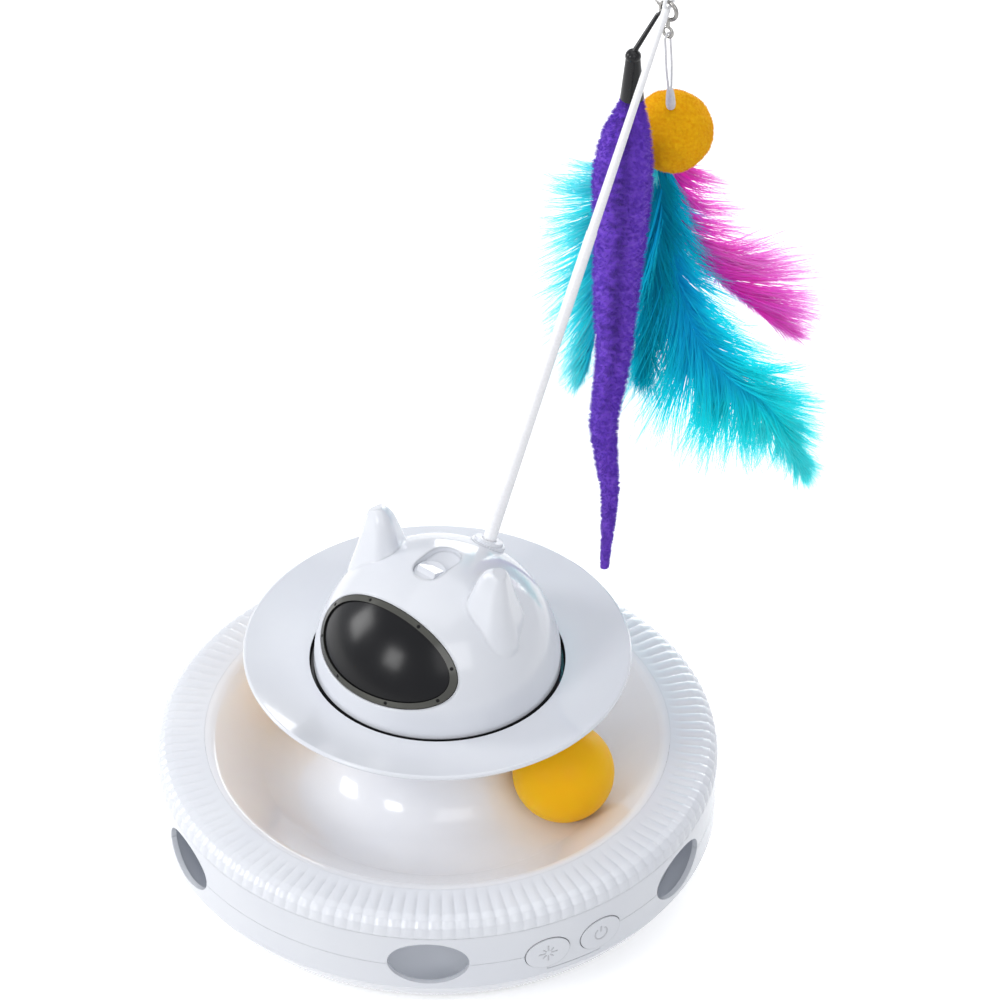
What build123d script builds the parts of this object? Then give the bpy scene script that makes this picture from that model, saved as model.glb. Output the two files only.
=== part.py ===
from build123d import *
import os
from math import cos, degrees, hypot, radians, sin, sqrt, tan

# Automatic cat toy: a fluted round base with a ball track, and a turning cat-eared head with a wand lure.
# Millimetres, Z up, origin on the floor under the middle of the base, one peek hole faces -Y.

# Shared fits
clearance = 0.3
seam_gap = 0.05
parting_gap = 0.15
overrun = 6.0
wall = 2.4

# Base shell
base_radius = 122.3
pan_flare = 14.9
floor_bevel = 2.4
floor_z = 1.5
floor_top_z = 4.0
pan_curve_top_z = 22.0
pan_sagitta = 1.2
parting_z = 34.4
band_top_z = 50.0
crest_z = 59.2

# Ball track
ball_radius = 22.0
track_share = 0.5094
trough_ease = 3.0
trough_floor_z = 39.7
bowl_slope = 34.0
crest_curve = 8.0
ball_turns = {"ball_1": 62.4, "ball_2": -125.0}

# Fluted rim
flute_count = 132
flute_depth = 0.75
flute_fade = 1.6
flute_inset = 5.0
shoulder_radius = 6.8
shoulder_z = 51.7
shoulder_steps = 3
rim_thickness = 2.8
band_lip = 2.9

# Peek holes and the ring wall behind them
hole_count = 6
hole_half_width = 17.3
hole_half_height = 11.3
hole_z = 36.0
guard_setback = 20.5
guard_wall = 2.0

# Buttons and switch board
button_z = 34.0
button_middle_turn = 30.2
button_pitch = 25.6
button_half_width = 10.1
button_half_height = 7.8
button_proud = 0.5
button_depth = 6.7
button_flange_depth = 3.9
button_travel = 0.8
button_flange_lip = 1.4
panel_foot_z = 24.6
board_setback = 14.3
board_thickness = 1.6
board_width = 40.0
board_top_z = 46.0
switch_radius = 2.6

# Charging inlet
inlet_turn = 150.0
inlet_z = 27.0
inlet_width = 9.2
inlet_height = 3.4
inlet_depth = 7.5
inlet_shell = 0.5
inlet_setback = 0.6

# Feet, screw posts and battery
foot_radius = 9.0
foot_setback = 15.0
post_radius = 6.0
post_top_z = 37.0
screw_radius = 3.4
screw_depth = 22.0
battery_radius = 9.2
battery_length = 65.0
battery_y = 28.0

# Pedestal and deck
pedestal_top_z = 95.2
pedestal_straight_z = 76.0
pedestal_flare = 12.0
pedestal_lip = 8.0
deck_radius = 83.6
deck_edge_z = 106.4
deck_edge_drop = 1.1
deck_thickness = 2.3
deck_sagitta = 1.1
well_gap = 1.1
well_lip = 0.8
well_lip_z = 101.2
well_floor_z = 98.2
bore_radius = 6.4

# Motor and spindle
motor_radius = 16.0
motor_foot_z = 66.0
gearbox_radius = 20.0
gearbox_foot_z = 84.0
spindle_radius = 5.9
spindle_foot_z = 88.0
motor_bore_depth = 8.4

# Head
head_turn = -38.3
dome_radius = 53.3
dome_wall = 2.5
dome_centre_z = 101.2
dome_foot_z = 99.0
hub_z = 99.4
hub_thickness = 2.4
ear_rise = 62.0
ear_reach = 73.0
ear_width = 27.0
ear_slide = 13.0
ear_reach_shares = [0.55, 0.7, 0.83, 0.93, 1]
ear_width_shares = [1, 0.84, 0.6, 0.42, 0.2]
ear_slide_shares = [1, 0.72, 0.32, 0.08, 0]
ear_corner_share = 0.38

# Visor
visor_rise = 36.0
visor_half_width = 36.7
visor_half_height = 20.9
visor_rim_width = 2.5
visor_lens_sink = 0.7
visor_thickness = 1.6
backing_margin = 1.6
backing_thickness = 1.8

# Head slider
slot_length = 24.0
slot_width = 14.0
slot_sink = 3.7
slot_pad = 2.4
slider_plate = 1.2
slider_sink = 0.3
slider_ramp_length = 7.0
slider_ramp_width = 9.6

# Wand
wand_foot_y = 33.6
wand_seat_rise = 0.4
wand_tilt = 27.85
wand_length = 244.5
wand_sunk = 8.0
rod_foot_radius = 2.9
rod_step_radius = 2.35
rod_upper_radius = 2.1
rod_tip_radius = 1.5
rod_step_share = 0.59
collar_radius = 7.6
collar_ring_radius = 6.3
collar_height = 0.8
collar_ring_height = 1.4
collar_sunk = 11.0
tip_cap_length = 6.0
tip_cap_radius = 1.8
eyelet_radius = 2.9
eyelet_wire = 0.8

# Clasp
clasp_radius = 4.2
clasp_wire = 0.9
clasp_start = -25.0
clasp_sweep = 280.0
lever_wire = 0.7
lever_start = 260.0
lever_sweep = 55.0
eye_radius = 2.4
eye_wire = 0.7
eye_stem = 4.0
loop_radius = 1.8
loop_wire = 0.6
loop_offset = 0.2
loop_turn = 235.0

# Lure: sway to the side, depth behind the clasp and drop below the wand eyelet
lure_turn = 40.2
cap_throat_drop = 24.0
cap_shoulder_drop = 28.0
cap_bow = 0.9
cap_foot_drop = 47.8
cap_radius = 5.1
cap_shoulder_radius = 3.2
cap_throat_radius = 1.4
neck_radius = 0.9
neck_foot_radius = 1.2
neck_sunk = 1.5
worm_drop = 48.2
worm_length = 256.6
worm_radius = 12.9
worm_lean = 14.2
worm_curve = 8.2
worm_drop_shares = [0, 0.06, 0.14, 0.24, 0.42, 0.54, 0.67, 0.75, 0.82, 0.9, 1]
worm_curve_shares = [0, 0.22, 0.36, 0.4, 0.54, 0.6, 1, 0.84, 0.6, 0.63, 0.76]
worm_radius_shares = [0.36, 0.75, 1, 0.94, 0.76, 0.61, 0.5, 0.41, 0.33, 0.25, 0.16]
pom_radius = 18.5
pom_sway = 4.7
pom_depth = 26.0
pom_drop = 83.0
strand_radius = 0.5
strand_half_gap = 1.5
strand_length = 38.0
sleeve_radius = 2.1
feather_thickness = 1.6
feather_root_sway = 3.0
feather_root_half_width = 1.6
feather_drop = 283.0
feather_depth_shares = {"feather_left": 0.73, "feather_mid": 0.865, "feather_right": 1, "feather_magenta": 1.135}
feather_tip_shares = {
    "feather_left": (-0.134, 0.792),
    "feather_mid": (-0.028, 0.806),
    "feather_right": (0.263, 1),
    "feather_magenta": (0.247, 0.668),
}
# How far each leaf swells to its two sides
feather_bulge_shares = {
    "feather_left": (0.127, 0.014),
    "feather_mid": (0.049, 0.042),
    "feather_right": (0.148, -0.042),
    "feather_magenta": (0.088, 0.035),
}


def save(shape, label, turn=0):
    """Turns a finished piece into its place, names it and writes its file."""
    placed = shape.rotate(Axis.Z, turn)
    placed.label = label
    export_step(placed, f"parts/{label}.step")


def outward(turn):
    """The level direction at a turn from the front peek hole."""
    return Vector(sin(radians(turn)), -cos(radians(turn)), 0)


def wall_plane(turn, radius, height):
    """A plane that looks outward, its x along the wall and its y upward."""
    return Plane(origin=outward(turn) * radius + Vector(0, 0, height),
                 x_dir=outward(turn + 90), z_dir=outward(turn))


def profile_plane(turn):
    """An upright plane through the axis, its x outward and its y upward."""
    return Plane(origin=(0, 0, 0), x_dir=outward(turn), z_dir=outward(turn - 90))


os.makedirs("parts", exist_ok=True)

hole_turns = [number * 360 / hole_count for number in range(hole_count)]
between_turns = [turn + 180 / hole_count for turn in hole_turns]
button_spread = degrees(button_pitch / base_radius) / 2
button_turns = {
    "button_light": button_middle_turn - button_spread,
    "button_power": button_middle_turn + button_spread,
}

# Radii that follow the base
pan_foot_radius = base_radius - pan_flare
base_foot_radius = pan_foot_radius - floor_bevel
foot_circle_radius = base_foot_radius - foot_setback
guard_radius = base_radius - guard_setback
board_radius = base_radius - board_setback
button_inner_radius = base_radius - button_depth
button_flange_radius = base_radius - button_flange_depth
track_radius = base_radius * track_share
trough_radius = ball_radius + trough_ease

# Bowl profile: pedestal, trough, slope and crest, worked out round the ball
trough_z = trough_floor_z + trough_radius
slope_out = sin(radians(bowl_slope))
slope_up = cos(radians(bowl_slope))
slope_foot = Vector(track_radius + trough_radius * slope_out, trough_z - trough_radius * slope_up)
slope_head_z = crest_z - crest_curve * (1 - slope_up)
slope_run = (slope_head_z - slope_foot.Y) / tan(radians(bowl_slope))
slope_head = Vector(slope_foot.X + slope_run, slope_head_z)
crest_radius = slope_head.X + crest_curve * slope_out
pedestal_radius = track_radius - trough_radius
flare_radius = pedestal_radius + pedestal_flare
under_slope = Vector(wall * slope_out, -wall * slope_up)
rim_seat_radius = base_radius - rim_thickness - seam_gap
rim_seat_z = crest_z - rim_thickness - seam_gap
rim_turn_radius = base_radius - shoulder_radius
flange_z = rim_seat_z - wall
flange_lean = (rim_seat_radius - rim_turn_radius) * wall / (rim_seat_z - shoulder_z)
flange_radius = rim_turn_radius + flange_lean
lip_radius = flange_radius - band_lip
deck_foot_z = pedestal_top_z + seam_gap
under_foot = slope_foot + under_slope
guard_under_z = under_foot.Y + (guard_radius - guard_wall - under_foot.X) * tan(radians(bowl_slope))
guard_top_z = min(flange_z, guard_under_z) - clearance

# Pan floor: a disc with a bevelled edge and the screw posts
with BuildPart() as pan_floor:
    with BuildSketch(Plane.XZ):
        with BuildLine():
            Polyline((0, floor_z), (base_foot_radius, floor_z), (pan_foot_radius, floor_top_z), (0, floor_top_z),
                     (0, floor_z))
        make_face()
    revolve(axis=Axis.Z)
    with BuildSketch(Plane.XY.offset(floor_top_z)):
        with PolarLocations(track_radius, hole_count, start_angle=180 / hole_count):
            Circle(post_radius)
    extrude(amount=post_top_z - floor_top_z)
    with BuildSketch(Plane.XY.offset(floor_z)):
        with PolarLocations(track_radius, hole_count, start_angle=180 / hole_count):
            Circle(screw_radius)
    extrude(amount=screw_depth, mode=Mode.SUBTRACT)
save(pan_floor.part, "pan_floor")

# Pan wall: the flared ring on the floor, with the lower halves of the peek holes
with BuildPart() as pan_wall:
    with BuildSketch(Plane.XZ):
        with BuildLine():
            SagittaArc((pan_foot_radius, floor_top_z), (base_radius, pan_curve_top_z), -pan_sagitta)
            Polyline((base_radius, pan_curve_top_z), (base_radius, parting_z),
                     (base_radius - wall, parting_z), (base_radius - wall, pan_curve_top_z))
            SagittaArc((base_radius - wall, pan_curve_top_z), (pan_foot_radius - wall, floor_top_z), pan_sagitta)
            Line((pan_foot_radius - wall, floor_top_z), (pan_foot_radius, floor_top_z))
        make_face()
    revolve(axis=Axis.Z)
    for turn in hole_turns:
        with BuildSketch(wall_plane(turn, guard_radius, hole_z)):
            Ellipse(hole_half_width, hole_half_height)
        extrude(amount=guard_setback + overrun, mode=Mode.SUBTRACT)
    with BuildSketch(profile_plane(button_middle_turn - button_spread)):
        with Locations((base_radius, (parting_z + panel_foot_z) / 2)):
            Rectangle(2 * overrun, parting_z - panel_foot_z + 2 * parting_gap)
    revolve(axis=Axis.Z, revolution_arc=2 * button_spread, mode=Mode.SUBTRACT)
    for turn in button_turns.values():
        with BuildSketch(wall_plane(turn, board_radius, button_z)):
            Ellipse(button_half_width + clearance, button_half_height + clearance)
        extrude(amount=board_setback + overrun, mode=Mode.SUBTRACT)
    with BuildSketch(wall_plane(inlet_turn, base_radius - overrun, inlet_z)):
        SlotOverall(inlet_width + 2 * clearance, inlet_height + 2 * clearance)
    extrude(amount=2 * overrun, mode=Mode.SUBTRACT)
save(pan_wall.part, "pan_wall")

# Side band: the smooth upper wall, with the panel between the buttons and a lip that the bowl lies on
panel_trimmed_turn = button_spread - degrees(parting_gap / base_radius)
with BuildPart() as side_band:
    with BuildSketch(Plane.XZ):
        with BuildLine():
            Polyline((base_radius, panel_foot_z + parting_gap), (base_radius, band_top_z - seam_gap),
                     (rim_seat_radius, band_top_z - seam_gap), (rim_seat_radius, shoulder_z),
                     (flange_radius, flange_z), (lip_radius, flange_z), (lip_radius, band_top_z),
                     (base_radius - wall, band_top_z - 2 * wall), (base_radius - wall, panel_foot_z + parting_gap),
                     (base_radius, panel_foot_z + parting_gap))
        make_face()
    revolve(axis=Axis.Z)
    with BuildSketch(profile_plane(button_middle_turn + panel_trimmed_turn)):
        with Locations((base_radius, parting_z + parting_gap - overrun)):
            Rectangle(2 * overrun, 2 * overrun)
    revolve(axis=Axis.Z, revolution_arc=360 - 2 * panel_trimmed_turn, mode=Mode.SUBTRACT)
    for turn in hole_turns:
        with BuildSketch(wall_plane(turn, guard_radius, hole_z)):
            Ellipse(hole_half_width, hole_half_height)
        extrude(amount=guard_setback + overrun, mode=Mode.SUBTRACT)
    for turn in button_turns.values():
        with BuildSketch(wall_plane(turn, board_radius, button_z)):
            Ellipse(button_half_width + clearance, button_half_height + clearance)
        extrude(amount=board_setback + overrun, mode=Mode.SUBTRACT)
save(side_band.part, "side_band")

# Track bowl: the trough and slope that the balls run in, out to the flange under the rim
with BuildPart() as track_bowl:
    with BuildSketch(Plane.XZ):
        with BuildLine():
            Polyline((flange_radius, flange_z), (rim_turn_radius, rim_seat_z), (crest_radius, rim_seat_z),
                     (crest_radius, crest_z))
            RadiusArc((crest_radius, crest_z), slope_head, -crest_curve)
            Line(slope_head, slope_foot)
            RadiusArc(slope_foot, (pedestal_radius, trough_z), trough_radius)
            Line((pedestal_radius, trough_z), (pedestal_radius - wall, trough_z))
            RadiusArc((pedestal_radius - wall, trough_z), slope_foot + under_slope, -trough_radius - wall)
            Polyline(slope_foot + under_slope, slope_head + under_slope, (lip_radius - wall, flange_z),
                     (flange_radius, flange_z))
        make_face()
    revolve(axis=Axis.Z)
save(track_bowl.part, "track_bowl")

# Pedestal: the hollow column between the bowl and the deck
with BuildPart() as pedestal:
    with BuildSketch(Plane.XZ):
        with BuildLine():
            Line((pedestal_radius, trough_z), (pedestal_radius, pedestal_straight_z))
            Spline((pedestal_radius, pedestal_straight_z), (flare_radius, pedestal_top_z),
                   tangents=[(0, 1), (1, 1)])
            Polyline((flare_radius, pedestal_top_z), (flare_radius - pedestal_lip, pedestal_top_z),
                     (pedestal_radius - wall, pedestal_straight_z), (pedestal_radius - wall, trough_z),
                     (pedestal_radius, trough_z))
        make_face()
    revolve(axis=Axis.Z)
save(pedestal.part, "pedestal")

# Fluted rim: scalloped outlines that climb the shoulder and run in over the crest
flute_stations = [(base_radius, band_top_z, 0, 0), (base_radius, band_top_z + flute_fade, 0, 1)]
for step in range(1, shoulder_steps + 1):
    lean = 90 * step / shoulder_steps
    flute_stations.append((rim_turn_radius + shoulder_radius * cos(radians(lean)),
                           shoulder_z + shoulder_radius * sin(radians(lean)), lean, 1))
shoulder_top_z = shoulder_z + shoulder_radius
flute_stations.append((crest_radius + flute_inset, (shoulder_top_z + crest_z) / 2, 90, 1))
flute_stations.append((crest_radius + seam_gap, crest_z, 90, 0))


def scalloped_ring(radius, height, lean, share):
    """One closed outline of round lobes, the valleys between them sunk along the lean."""
    sink = flute_depth * share
    valley_radius = radius - sink * cos(radians(lean))
    valley_z = height - sink * sin(radians(lean))
    pitch = 360 / flute_count
    lobes = []
    for number in range(flute_count):
        start = outward(number * pitch) * valley_radius + Vector(0, 0, valley_z)
        crown = outward((number + 0.5) * pitch) * radius + Vector(0, 0, height)
        end = outward((number + 1) * pitch) * valley_radius + Vector(0, 0, valley_z)
        lobes.append(Edge.make_three_point_arc(start, crown, end))
    return Wire(lobes)


flute_body = Solid.make_loft([scalloped_ring(*station) for station in flute_stations], ruled=True)
with BuildPart() as fluted_rim:
    add(flute_body)
    with BuildSketch(Plane.XZ):
        with BuildLine():
            Polyline((0, band_top_z - overrun), (base_radius - rim_thickness, band_top_z - overrun),
                     (base_radius - rim_thickness, shoulder_z), (rim_turn_radius, crest_z - rim_thickness),
                     (crest_radius + seam_gap, crest_z - rim_thickness),
                     (crest_radius + seam_gap, crest_z + overrun), (0, crest_z + overrun),
                     (0, band_top_z - overrun))
        make_face()
    revolve(axis=Axis.Z, mode=Mode.SUBTRACT)
save(fluted_rim.part, "fluted_rim")

# Ring wall behind the peek holes
with BuildPart() as guard_ring:
    with BuildSketch(Plane.XY.offset(floor_top_z)):
        Circle(guard_radius)
        Circle(guard_radius - guard_wall, mode=Mode.SUBTRACT)
    extrude(amount=guard_top_z - floor_top_z)
save(guard_ring.part, "guard_ring")

# Deck: a shallow dish round the head, with the well that the head turns in
well_radius = dome_radius + well_gap
with BuildPart() as deck:
    with BuildSketch(Plane.XZ):
        with BuildLine():
            Polyline((well_radius + well_lip, well_lip_z), (well_radius, well_floor_z),
                     (bore_radius, well_floor_z), (bore_radius, deck_foot_z), (flare_radius, deck_foot_z))
            SagittaArc((flare_radius, deck_foot_z), (deck_radius - deck_edge_drop, deck_edge_z - deck_thickness),
                       -deck_sagitta)
            ThreePointArc((deck_radius - deck_edge_drop, deck_edge_z - deck_thickness),
                          (deck_radius, deck_edge_z - deck_thickness / 2),
                          (deck_radius - deck_edge_drop, deck_edge_z))
            SagittaArc((deck_radius - deck_edge_drop, deck_edge_z), (well_radius + well_lip, well_lip_z),
                       deck_sagitta)
        make_face()
    revolve(axis=Axis.Z)
save(deck.part, "deck")

# Gear motor under the deck, with the socket for the head spindle
with BuildPart() as gear_motor:
    with BuildSketch(Plane.XY.offset(motor_foot_z)):
        Circle(motor_radius)
    extrude(amount=gearbox_foot_z - motor_foot_z)
    with BuildSketch(Plane.XY.offset(gearbox_foot_z)):
        Circle(gearbox_radius)
    extrude(amount=deck_foot_z - gearbox_foot_z)
    with BuildSketch(Plane.XY.offset(deck_foot_z)):
        Circle(bore_radius)
    extrude(amount=-motor_bore_depth, mode=Mode.SUBTRACT)
save(gear_motor.part, "gear_motor")

# Battery cell on the pan floor
with BuildPart() as battery_cell:
    with BuildSketch(Plane.YZ.offset(-battery_length / 2)):
        with Locations((battery_y, floor_top_z + seam_gap + battery_radius)):
            Circle(battery_radius)
    extrude(amount=battery_length)
save(battery_cell.part, "battery_cell")

# Switch board behind the buttons: it clears the pan wall, and its switches stop short of the pressed buttons
board_corner_radius = hypot(board_radius + board_thickness, board_width / 2) + clearance
pan_rise = pan_curve_top_z - floor_top_z
pan_sag = pan_sagitta * hypot(pan_flare, pan_rise) / pan_flare
board_foot_z = floor_top_z + (board_corner_radius - pan_foot_radius + wall) * pan_rise / pan_flare - pan_sag
switch_far = board_radius * sin(radians(button_spread)) + switch_radius
switch_ahead = button_inner_radius - button_travel - clearance - switch_far * sin(radians(button_spread))
switch_reach = switch_ahead / cos(radians(button_spread)) - board_radius - board_thickness
with BuildPart() as switch_board:
    with BuildSketch(wall_plane(button_middle_turn, board_radius, (board_foot_z + board_top_z) / 2)):
        Rectangle(board_width, board_top_z - board_foot_z)
    extrude(amount=board_thickness)
    for side in (-1, 1):
        with BuildSketch(wall_plane(button_middle_turn, board_radius + board_thickness, button_z)):
            with Locations((side * board_radius * sin(radians(button_spread)), 0)):
                Circle(switch_radius)
        extrude(amount=switch_reach)
save(switch_board.part, "switch_board")

# Buttons: oval caps that follow the wall, each with a flange behind it
for label, turn in button_turns.items():
    with BuildPart() as button:
        with BuildSketch(wall_plane(turn, button_inner_radius, button_z)):
            Ellipse(button_half_width, button_half_height)
        extrude(amount=base_radius - button_inner_radius + overrun)
        with BuildSketch(Plane.XY):
            Circle(base_radius + button_proud)
        extrude(amount=crest_z, mode=Mode.INTERSECT)
        with BuildSketch(wall_plane(turn, button_inner_radius, button_z)):
            Ellipse(button_half_width + button_flange_lip, button_half_height + button_flange_lip)
        extrude(amount=button_flange_radius - button_inner_radius)
    save(button.part, label)

# Charging inlet: a hollow slot-shaped shell set into the pan wall at the back
with BuildPart() as charge_inlet:
    with BuildSketch(wall_plane(inlet_turn, base_radius - inlet_setback, inlet_z)):
        SlotOverall(inlet_width, inlet_height)
    extrude(amount=-inlet_depth)
    with BuildSketch(wall_plane(inlet_turn, base_radius - inlet_setback, inlet_z)):
        SlotOverall(inlet_width - 2 * inlet_shell, inlet_height - 2 * inlet_shell)
    extrude(amount=inlet_shell - inlet_depth, mode=Mode.SUBTRACT)
save(charge_inlet.part, "charge_inlet")

# Rubber feet under the pan, six round the edge and the last one in the middle
foot_places = [outward(turn) * foot_circle_radius for turn in between_turns] + [Vector(0, 0, 0)]
for number, place in enumerate(foot_places):
    with BuildPart() as foot:
        with BuildSketch(Plane.XY):
            with Locations(place):
                Circle(foot_radius)
        extrude(amount=floor_z)
    save(foot.part, f"foot_{number + 1}")

# Track balls
for label, turn in ball_turns.items():
    with BuildPart() as ball:
        with Locations(outward(turn) * track_radius + Vector(0, 0, trough_floor_z + ball_radius + clearance)):
            Sphere(ball_radius)
    save(ball.part, label)

# Head shell: domed, with two blunt ears, the visor opening, the slider's recess and the wand hole
dome_centre = Vector(0, 0, dome_centre_z)
dome_inner = dome_radius - dome_wall
dome_top_z = dome_centre_z + dome_radius
slot_floor_z = dome_top_z - slot_sink
wand_foot_z = dome_centre_z + sqrt(dome_radius**2 - wand_foot_y**2) + wand_seat_rise
wand_foot = Vector(0, wand_foot_y, wand_foot_z)
wand_way = Vector(0, sin(radians(wand_tilt)), cos(radians(wand_tilt)))
visor_plane = Plane(origin=dome_centre, x_dir=(1, 0, 0),
                    z_dir=(0, -cos(radians(visor_rise)), sin(radians(visor_rise))))


def across_wand(distance):
    """A plane square to the wand, at a distance up from its foot."""
    return Plane(origin=wand_foot + wand_way * distance, x_dir=(1, 0, 0), z_dir=wand_way)


with BuildPart() as head_shell:
    with BuildSketch(Plane.XZ):
        with BuildLine():
            Polyline((0, dome_foot_z), (dome_radius, dome_foot_z), (dome_radius, dome_centre_z))
            RadiusArc((dome_radius, dome_centre_z), (0, dome_centre_z + dome_radius), -dome_radius)
            Line((0, dome_centre_z + dome_radius), (0, dome_foot_z))
        make_face()
    revolve(axis=Axis.Z)
    for side in (-1, 1):
        ear_way = Vector(side * cos(radians(ear_rise)), 0, sin(radians(ear_rise)))
        ear_fall = Vector(side * sin(radians(ear_rise)), 0, -cos(radians(ear_rise)))
        for reach_share, width_share, slide_share in zip(ear_reach_shares, ear_width_shares, ear_slide_shares):
            ear_place = dome_centre + ear_way * ear_reach * reach_share + ear_fall * ear_slide * slide_share
            with BuildSketch(Plane(origin=ear_place, x_dir=ear_fall, z_dir=ear_way)):
                ear_outline = RegularPolygon(ear_width * width_share, 3, rotation=side * 90)
                fillet(ear_outline.vertices(), ear_width * width_share * ear_corner_share)
        loft()
    with BuildSketch(Plane.XZ):
        with BuildLine():
            Polyline((0, dome_foot_z - overrun), (dome_inner, dome_foot_z - overrun), (dome_inner, dome_centre_z))
            RadiusArc((dome_inner, dome_centre_z), (0, dome_centre_z + dome_inner), -dome_inner)
            Line((0, dome_centre_z + dome_inner), (0, dome_foot_z - overrun))
        make_face()
    revolve(axis=Axis.Z, mode=Mode.SUBTRACT)
    with BuildSketch(visor_plane):
        Ellipse(visor_half_width, visor_half_height)
    extrude(amount=dome_radius + overrun, mode=Mode.SUBTRACT)
    with BuildSketch(Plane.XY.offset(slot_floor_z - slot_pad)):
        SlotOverall(slot_length + 2 * slot_pad, slot_width + 2 * slot_pad, rotation=90)
    extrude(amount=slot_pad)
    with BuildSketch(Plane.XY.offset(slot_floor_z)):
        SlotOverall(slot_length + 2 * slot_pad, slot_width + 2 * slot_pad, rotation=90)
        SlotOverall(slot_length, slot_width, rotation=90, mode=Mode.SUBTRACT)
    extrude(amount=dome_centre_z + dome_inner - slot_floor_z)
    with BuildSketch(Plane.XY.offset(slot_floor_z)):
        SlotOverall(slot_length, slot_width, rotation=90)
    extrude(amount=overrun, mode=Mode.SUBTRACT)
    with BuildSketch(across_wand(-collar_sunk)):
        Circle(collar_radius + seam_gap)
    extrude(amount=collar_sunk + overrun, mode=Mode.SUBTRACT)
save(head_shell.part, "head_shell", head_turn)

# Hub plate in the foot of the dome, with the spindle that drops into the motor
with BuildPart() as head_hub:
    with BuildSketch(Plane.XY.offset(hub_z)):
        Circle(dome_inner - clearance)
    extrude(amount=hub_thickness)
    with BuildSketch(Plane.XY.offset(hub_z)):
        Circle(spindle_radius)
    extrude(amount=spindle_foot_z - hub_z)
save(head_hub.part, "head_hub", head_turn)


def dome_patch(outer, inner):
    """Keeps what lies between two spheres about the middle of the dome."""
    with Locations(dome_centre):
        Sphere(outer, mode=Mode.INTERSECT)
    with Locations(dome_centre):
        Sphere(inner, mode=Mode.SUBTRACT)


# Visor: clear rim, smoked lens and the dark backing behind them
rim_half_width = visor_half_width - clearance
rim_half_height = visor_half_height - clearance
with BuildPart() as visor_rim:
    with BuildSketch(visor_plane):
        Ellipse(rim_half_width, rim_half_height)
        Ellipse(rim_half_width - visor_rim_width, rim_half_height - visor_rim_width, mode=Mode.SUBTRACT)
    extrude(amount=dome_radius + overrun)
    dome_patch(dome_radius, dome_inner)
save(visor_rim.part, "visor_rim", head_turn)

lens_inset = visor_rim_width + seam_gap
with BuildPart() as visor_lens:
    with BuildSketch(visor_plane):
        Ellipse(rim_half_width - lens_inset, rim_half_height - lens_inset)
    extrude(amount=dome_radius + overrun)
    dome_patch(dome_radius - visor_lens_sink, dome_inner)
save(visor_lens.part, "visor_lens", head_turn)

backing_face = dome_inner - seam_gap
with BuildPart() as visor_backing:
    with BuildSketch(visor_plane):
        Ellipse(visor_half_width + backing_margin, visor_half_height + backing_margin)
    extrude(amount=dome_radius + overrun)
    dome_patch(backing_face, backing_face - backing_thickness)
save(visor_backing.part, "visor_backing", head_turn)

# Slider: a round plate with a thumb ramp, in the recess on top of the head
slider_radius = slot_width / 2 - clearance
slider_y = slot_width / 2 - slot_length / 2
plate_z = slot_floor_z + clearance
slider_top_z = dome_top_z - slider_sink
with BuildPart() as head_slider:
    with BuildSketch(Plane.XY.offset(plate_z)):
        with Locations((0, slider_y)):
            Circle(slider_radius)
    extrude(amount=slider_plate)
    with BuildSketch(Plane.YZ.offset(-slider_ramp_width / 2)):
        with BuildLine():
            Polyline((slider_y - slider_ramp_length / 2, plate_z + slider_plate),
                     (slider_y - slider_ramp_length / 4, slider_top_z),
                     (slider_y + slider_ramp_length / 2, plate_z + slider_plate),
                     (slider_y - slider_ramp_length / 2, plate_z + slider_plate))
        make_face()
    extrude(amount=slider_ramp_width)
save(head_slider.part, "head_slider", head_turn)

# Wand socket: two stacked rings outside the dome and a bored sleeve inside it
with BuildPart() as wand_socket:
    with BuildSketch(across_wand(-collar_sunk)):
        Circle(collar_radius)
    extrude(amount=collar_sunk + collar_height)
    with BuildSketch(across_wand(collar_height)):
        Circle(collar_ring_radius)
    extrude(amount=collar_ring_height)
    with BuildSketch(across_wand(-wand_sunk - clearance)):
        Circle(rod_foot_radius + clearance)
    extrude(amount=collar_sunk + overrun, mode=Mode.SUBTRACT)
save(wand_socket.part, "wand_socket", head_turn)

# Wand rod: tapered, with one step
wand_side = Plane(origin=wand_foot, x_dir=(1, 0, 0), z_dir=Vector(1, 0, 0).cross(wand_way))
rod_top = wand_length - tip_cap_length
with BuildPart() as wand_rod:
    with BuildSketch(wand_side):
        with BuildLine():
            Polyline((0, -wand_sunk), (rod_foot_radius, -wand_sunk), (rod_foot_radius, 0),
                     (rod_step_radius, wand_length * rod_step_share),
                     (rod_upper_radius, wand_length * rod_step_share), (rod_tip_radius, rod_top),
                     (0, rod_top), (0, -wand_sunk))
        make_face()
    revolve(axis=Axis(wand_foot, wand_way))
save(wand_rod.part, "wand_rod", head_turn)

# Wand tip: a cap with the eyelet
eyelet = wand_foot + wand_way * (wand_length + eyelet_radius)
with BuildPart() as wand_tip:
    with BuildSketch(across_wand(rod_top)):
        Circle(tip_cap_radius)
    extrude(amount=tip_cap_length)
    with Locations(Plane(origin=eyelet, z_dir=(1, 0, 0))):
        Torus(eyelet_radius, eyelet_wire)
save(wand_tip.part, "wand_tip", head_turn)

# Clasp: a hook ring through the eyelet, a stem and an eye under it
clasp_centre = eyelet - Vector(0, 0, clasp_radius)
clasp_axis = Axis(clasp_centre, (0, 1, 0))


def around_clasp(turn):
    """The direction from the middle of the hook ring, turned from straight up."""
    return Vector(sin(radians(turn)), 0, cos(radians(turn)))


def across_clasp(turn, radius):
    """A plane square to the hook ring's wire."""
    return Plane(origin=clasp_centre + around_clasp(turn) * radius, x_dir=around_clasp(turn),
                 z_dir=around_clasp(turn + 90))


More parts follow.
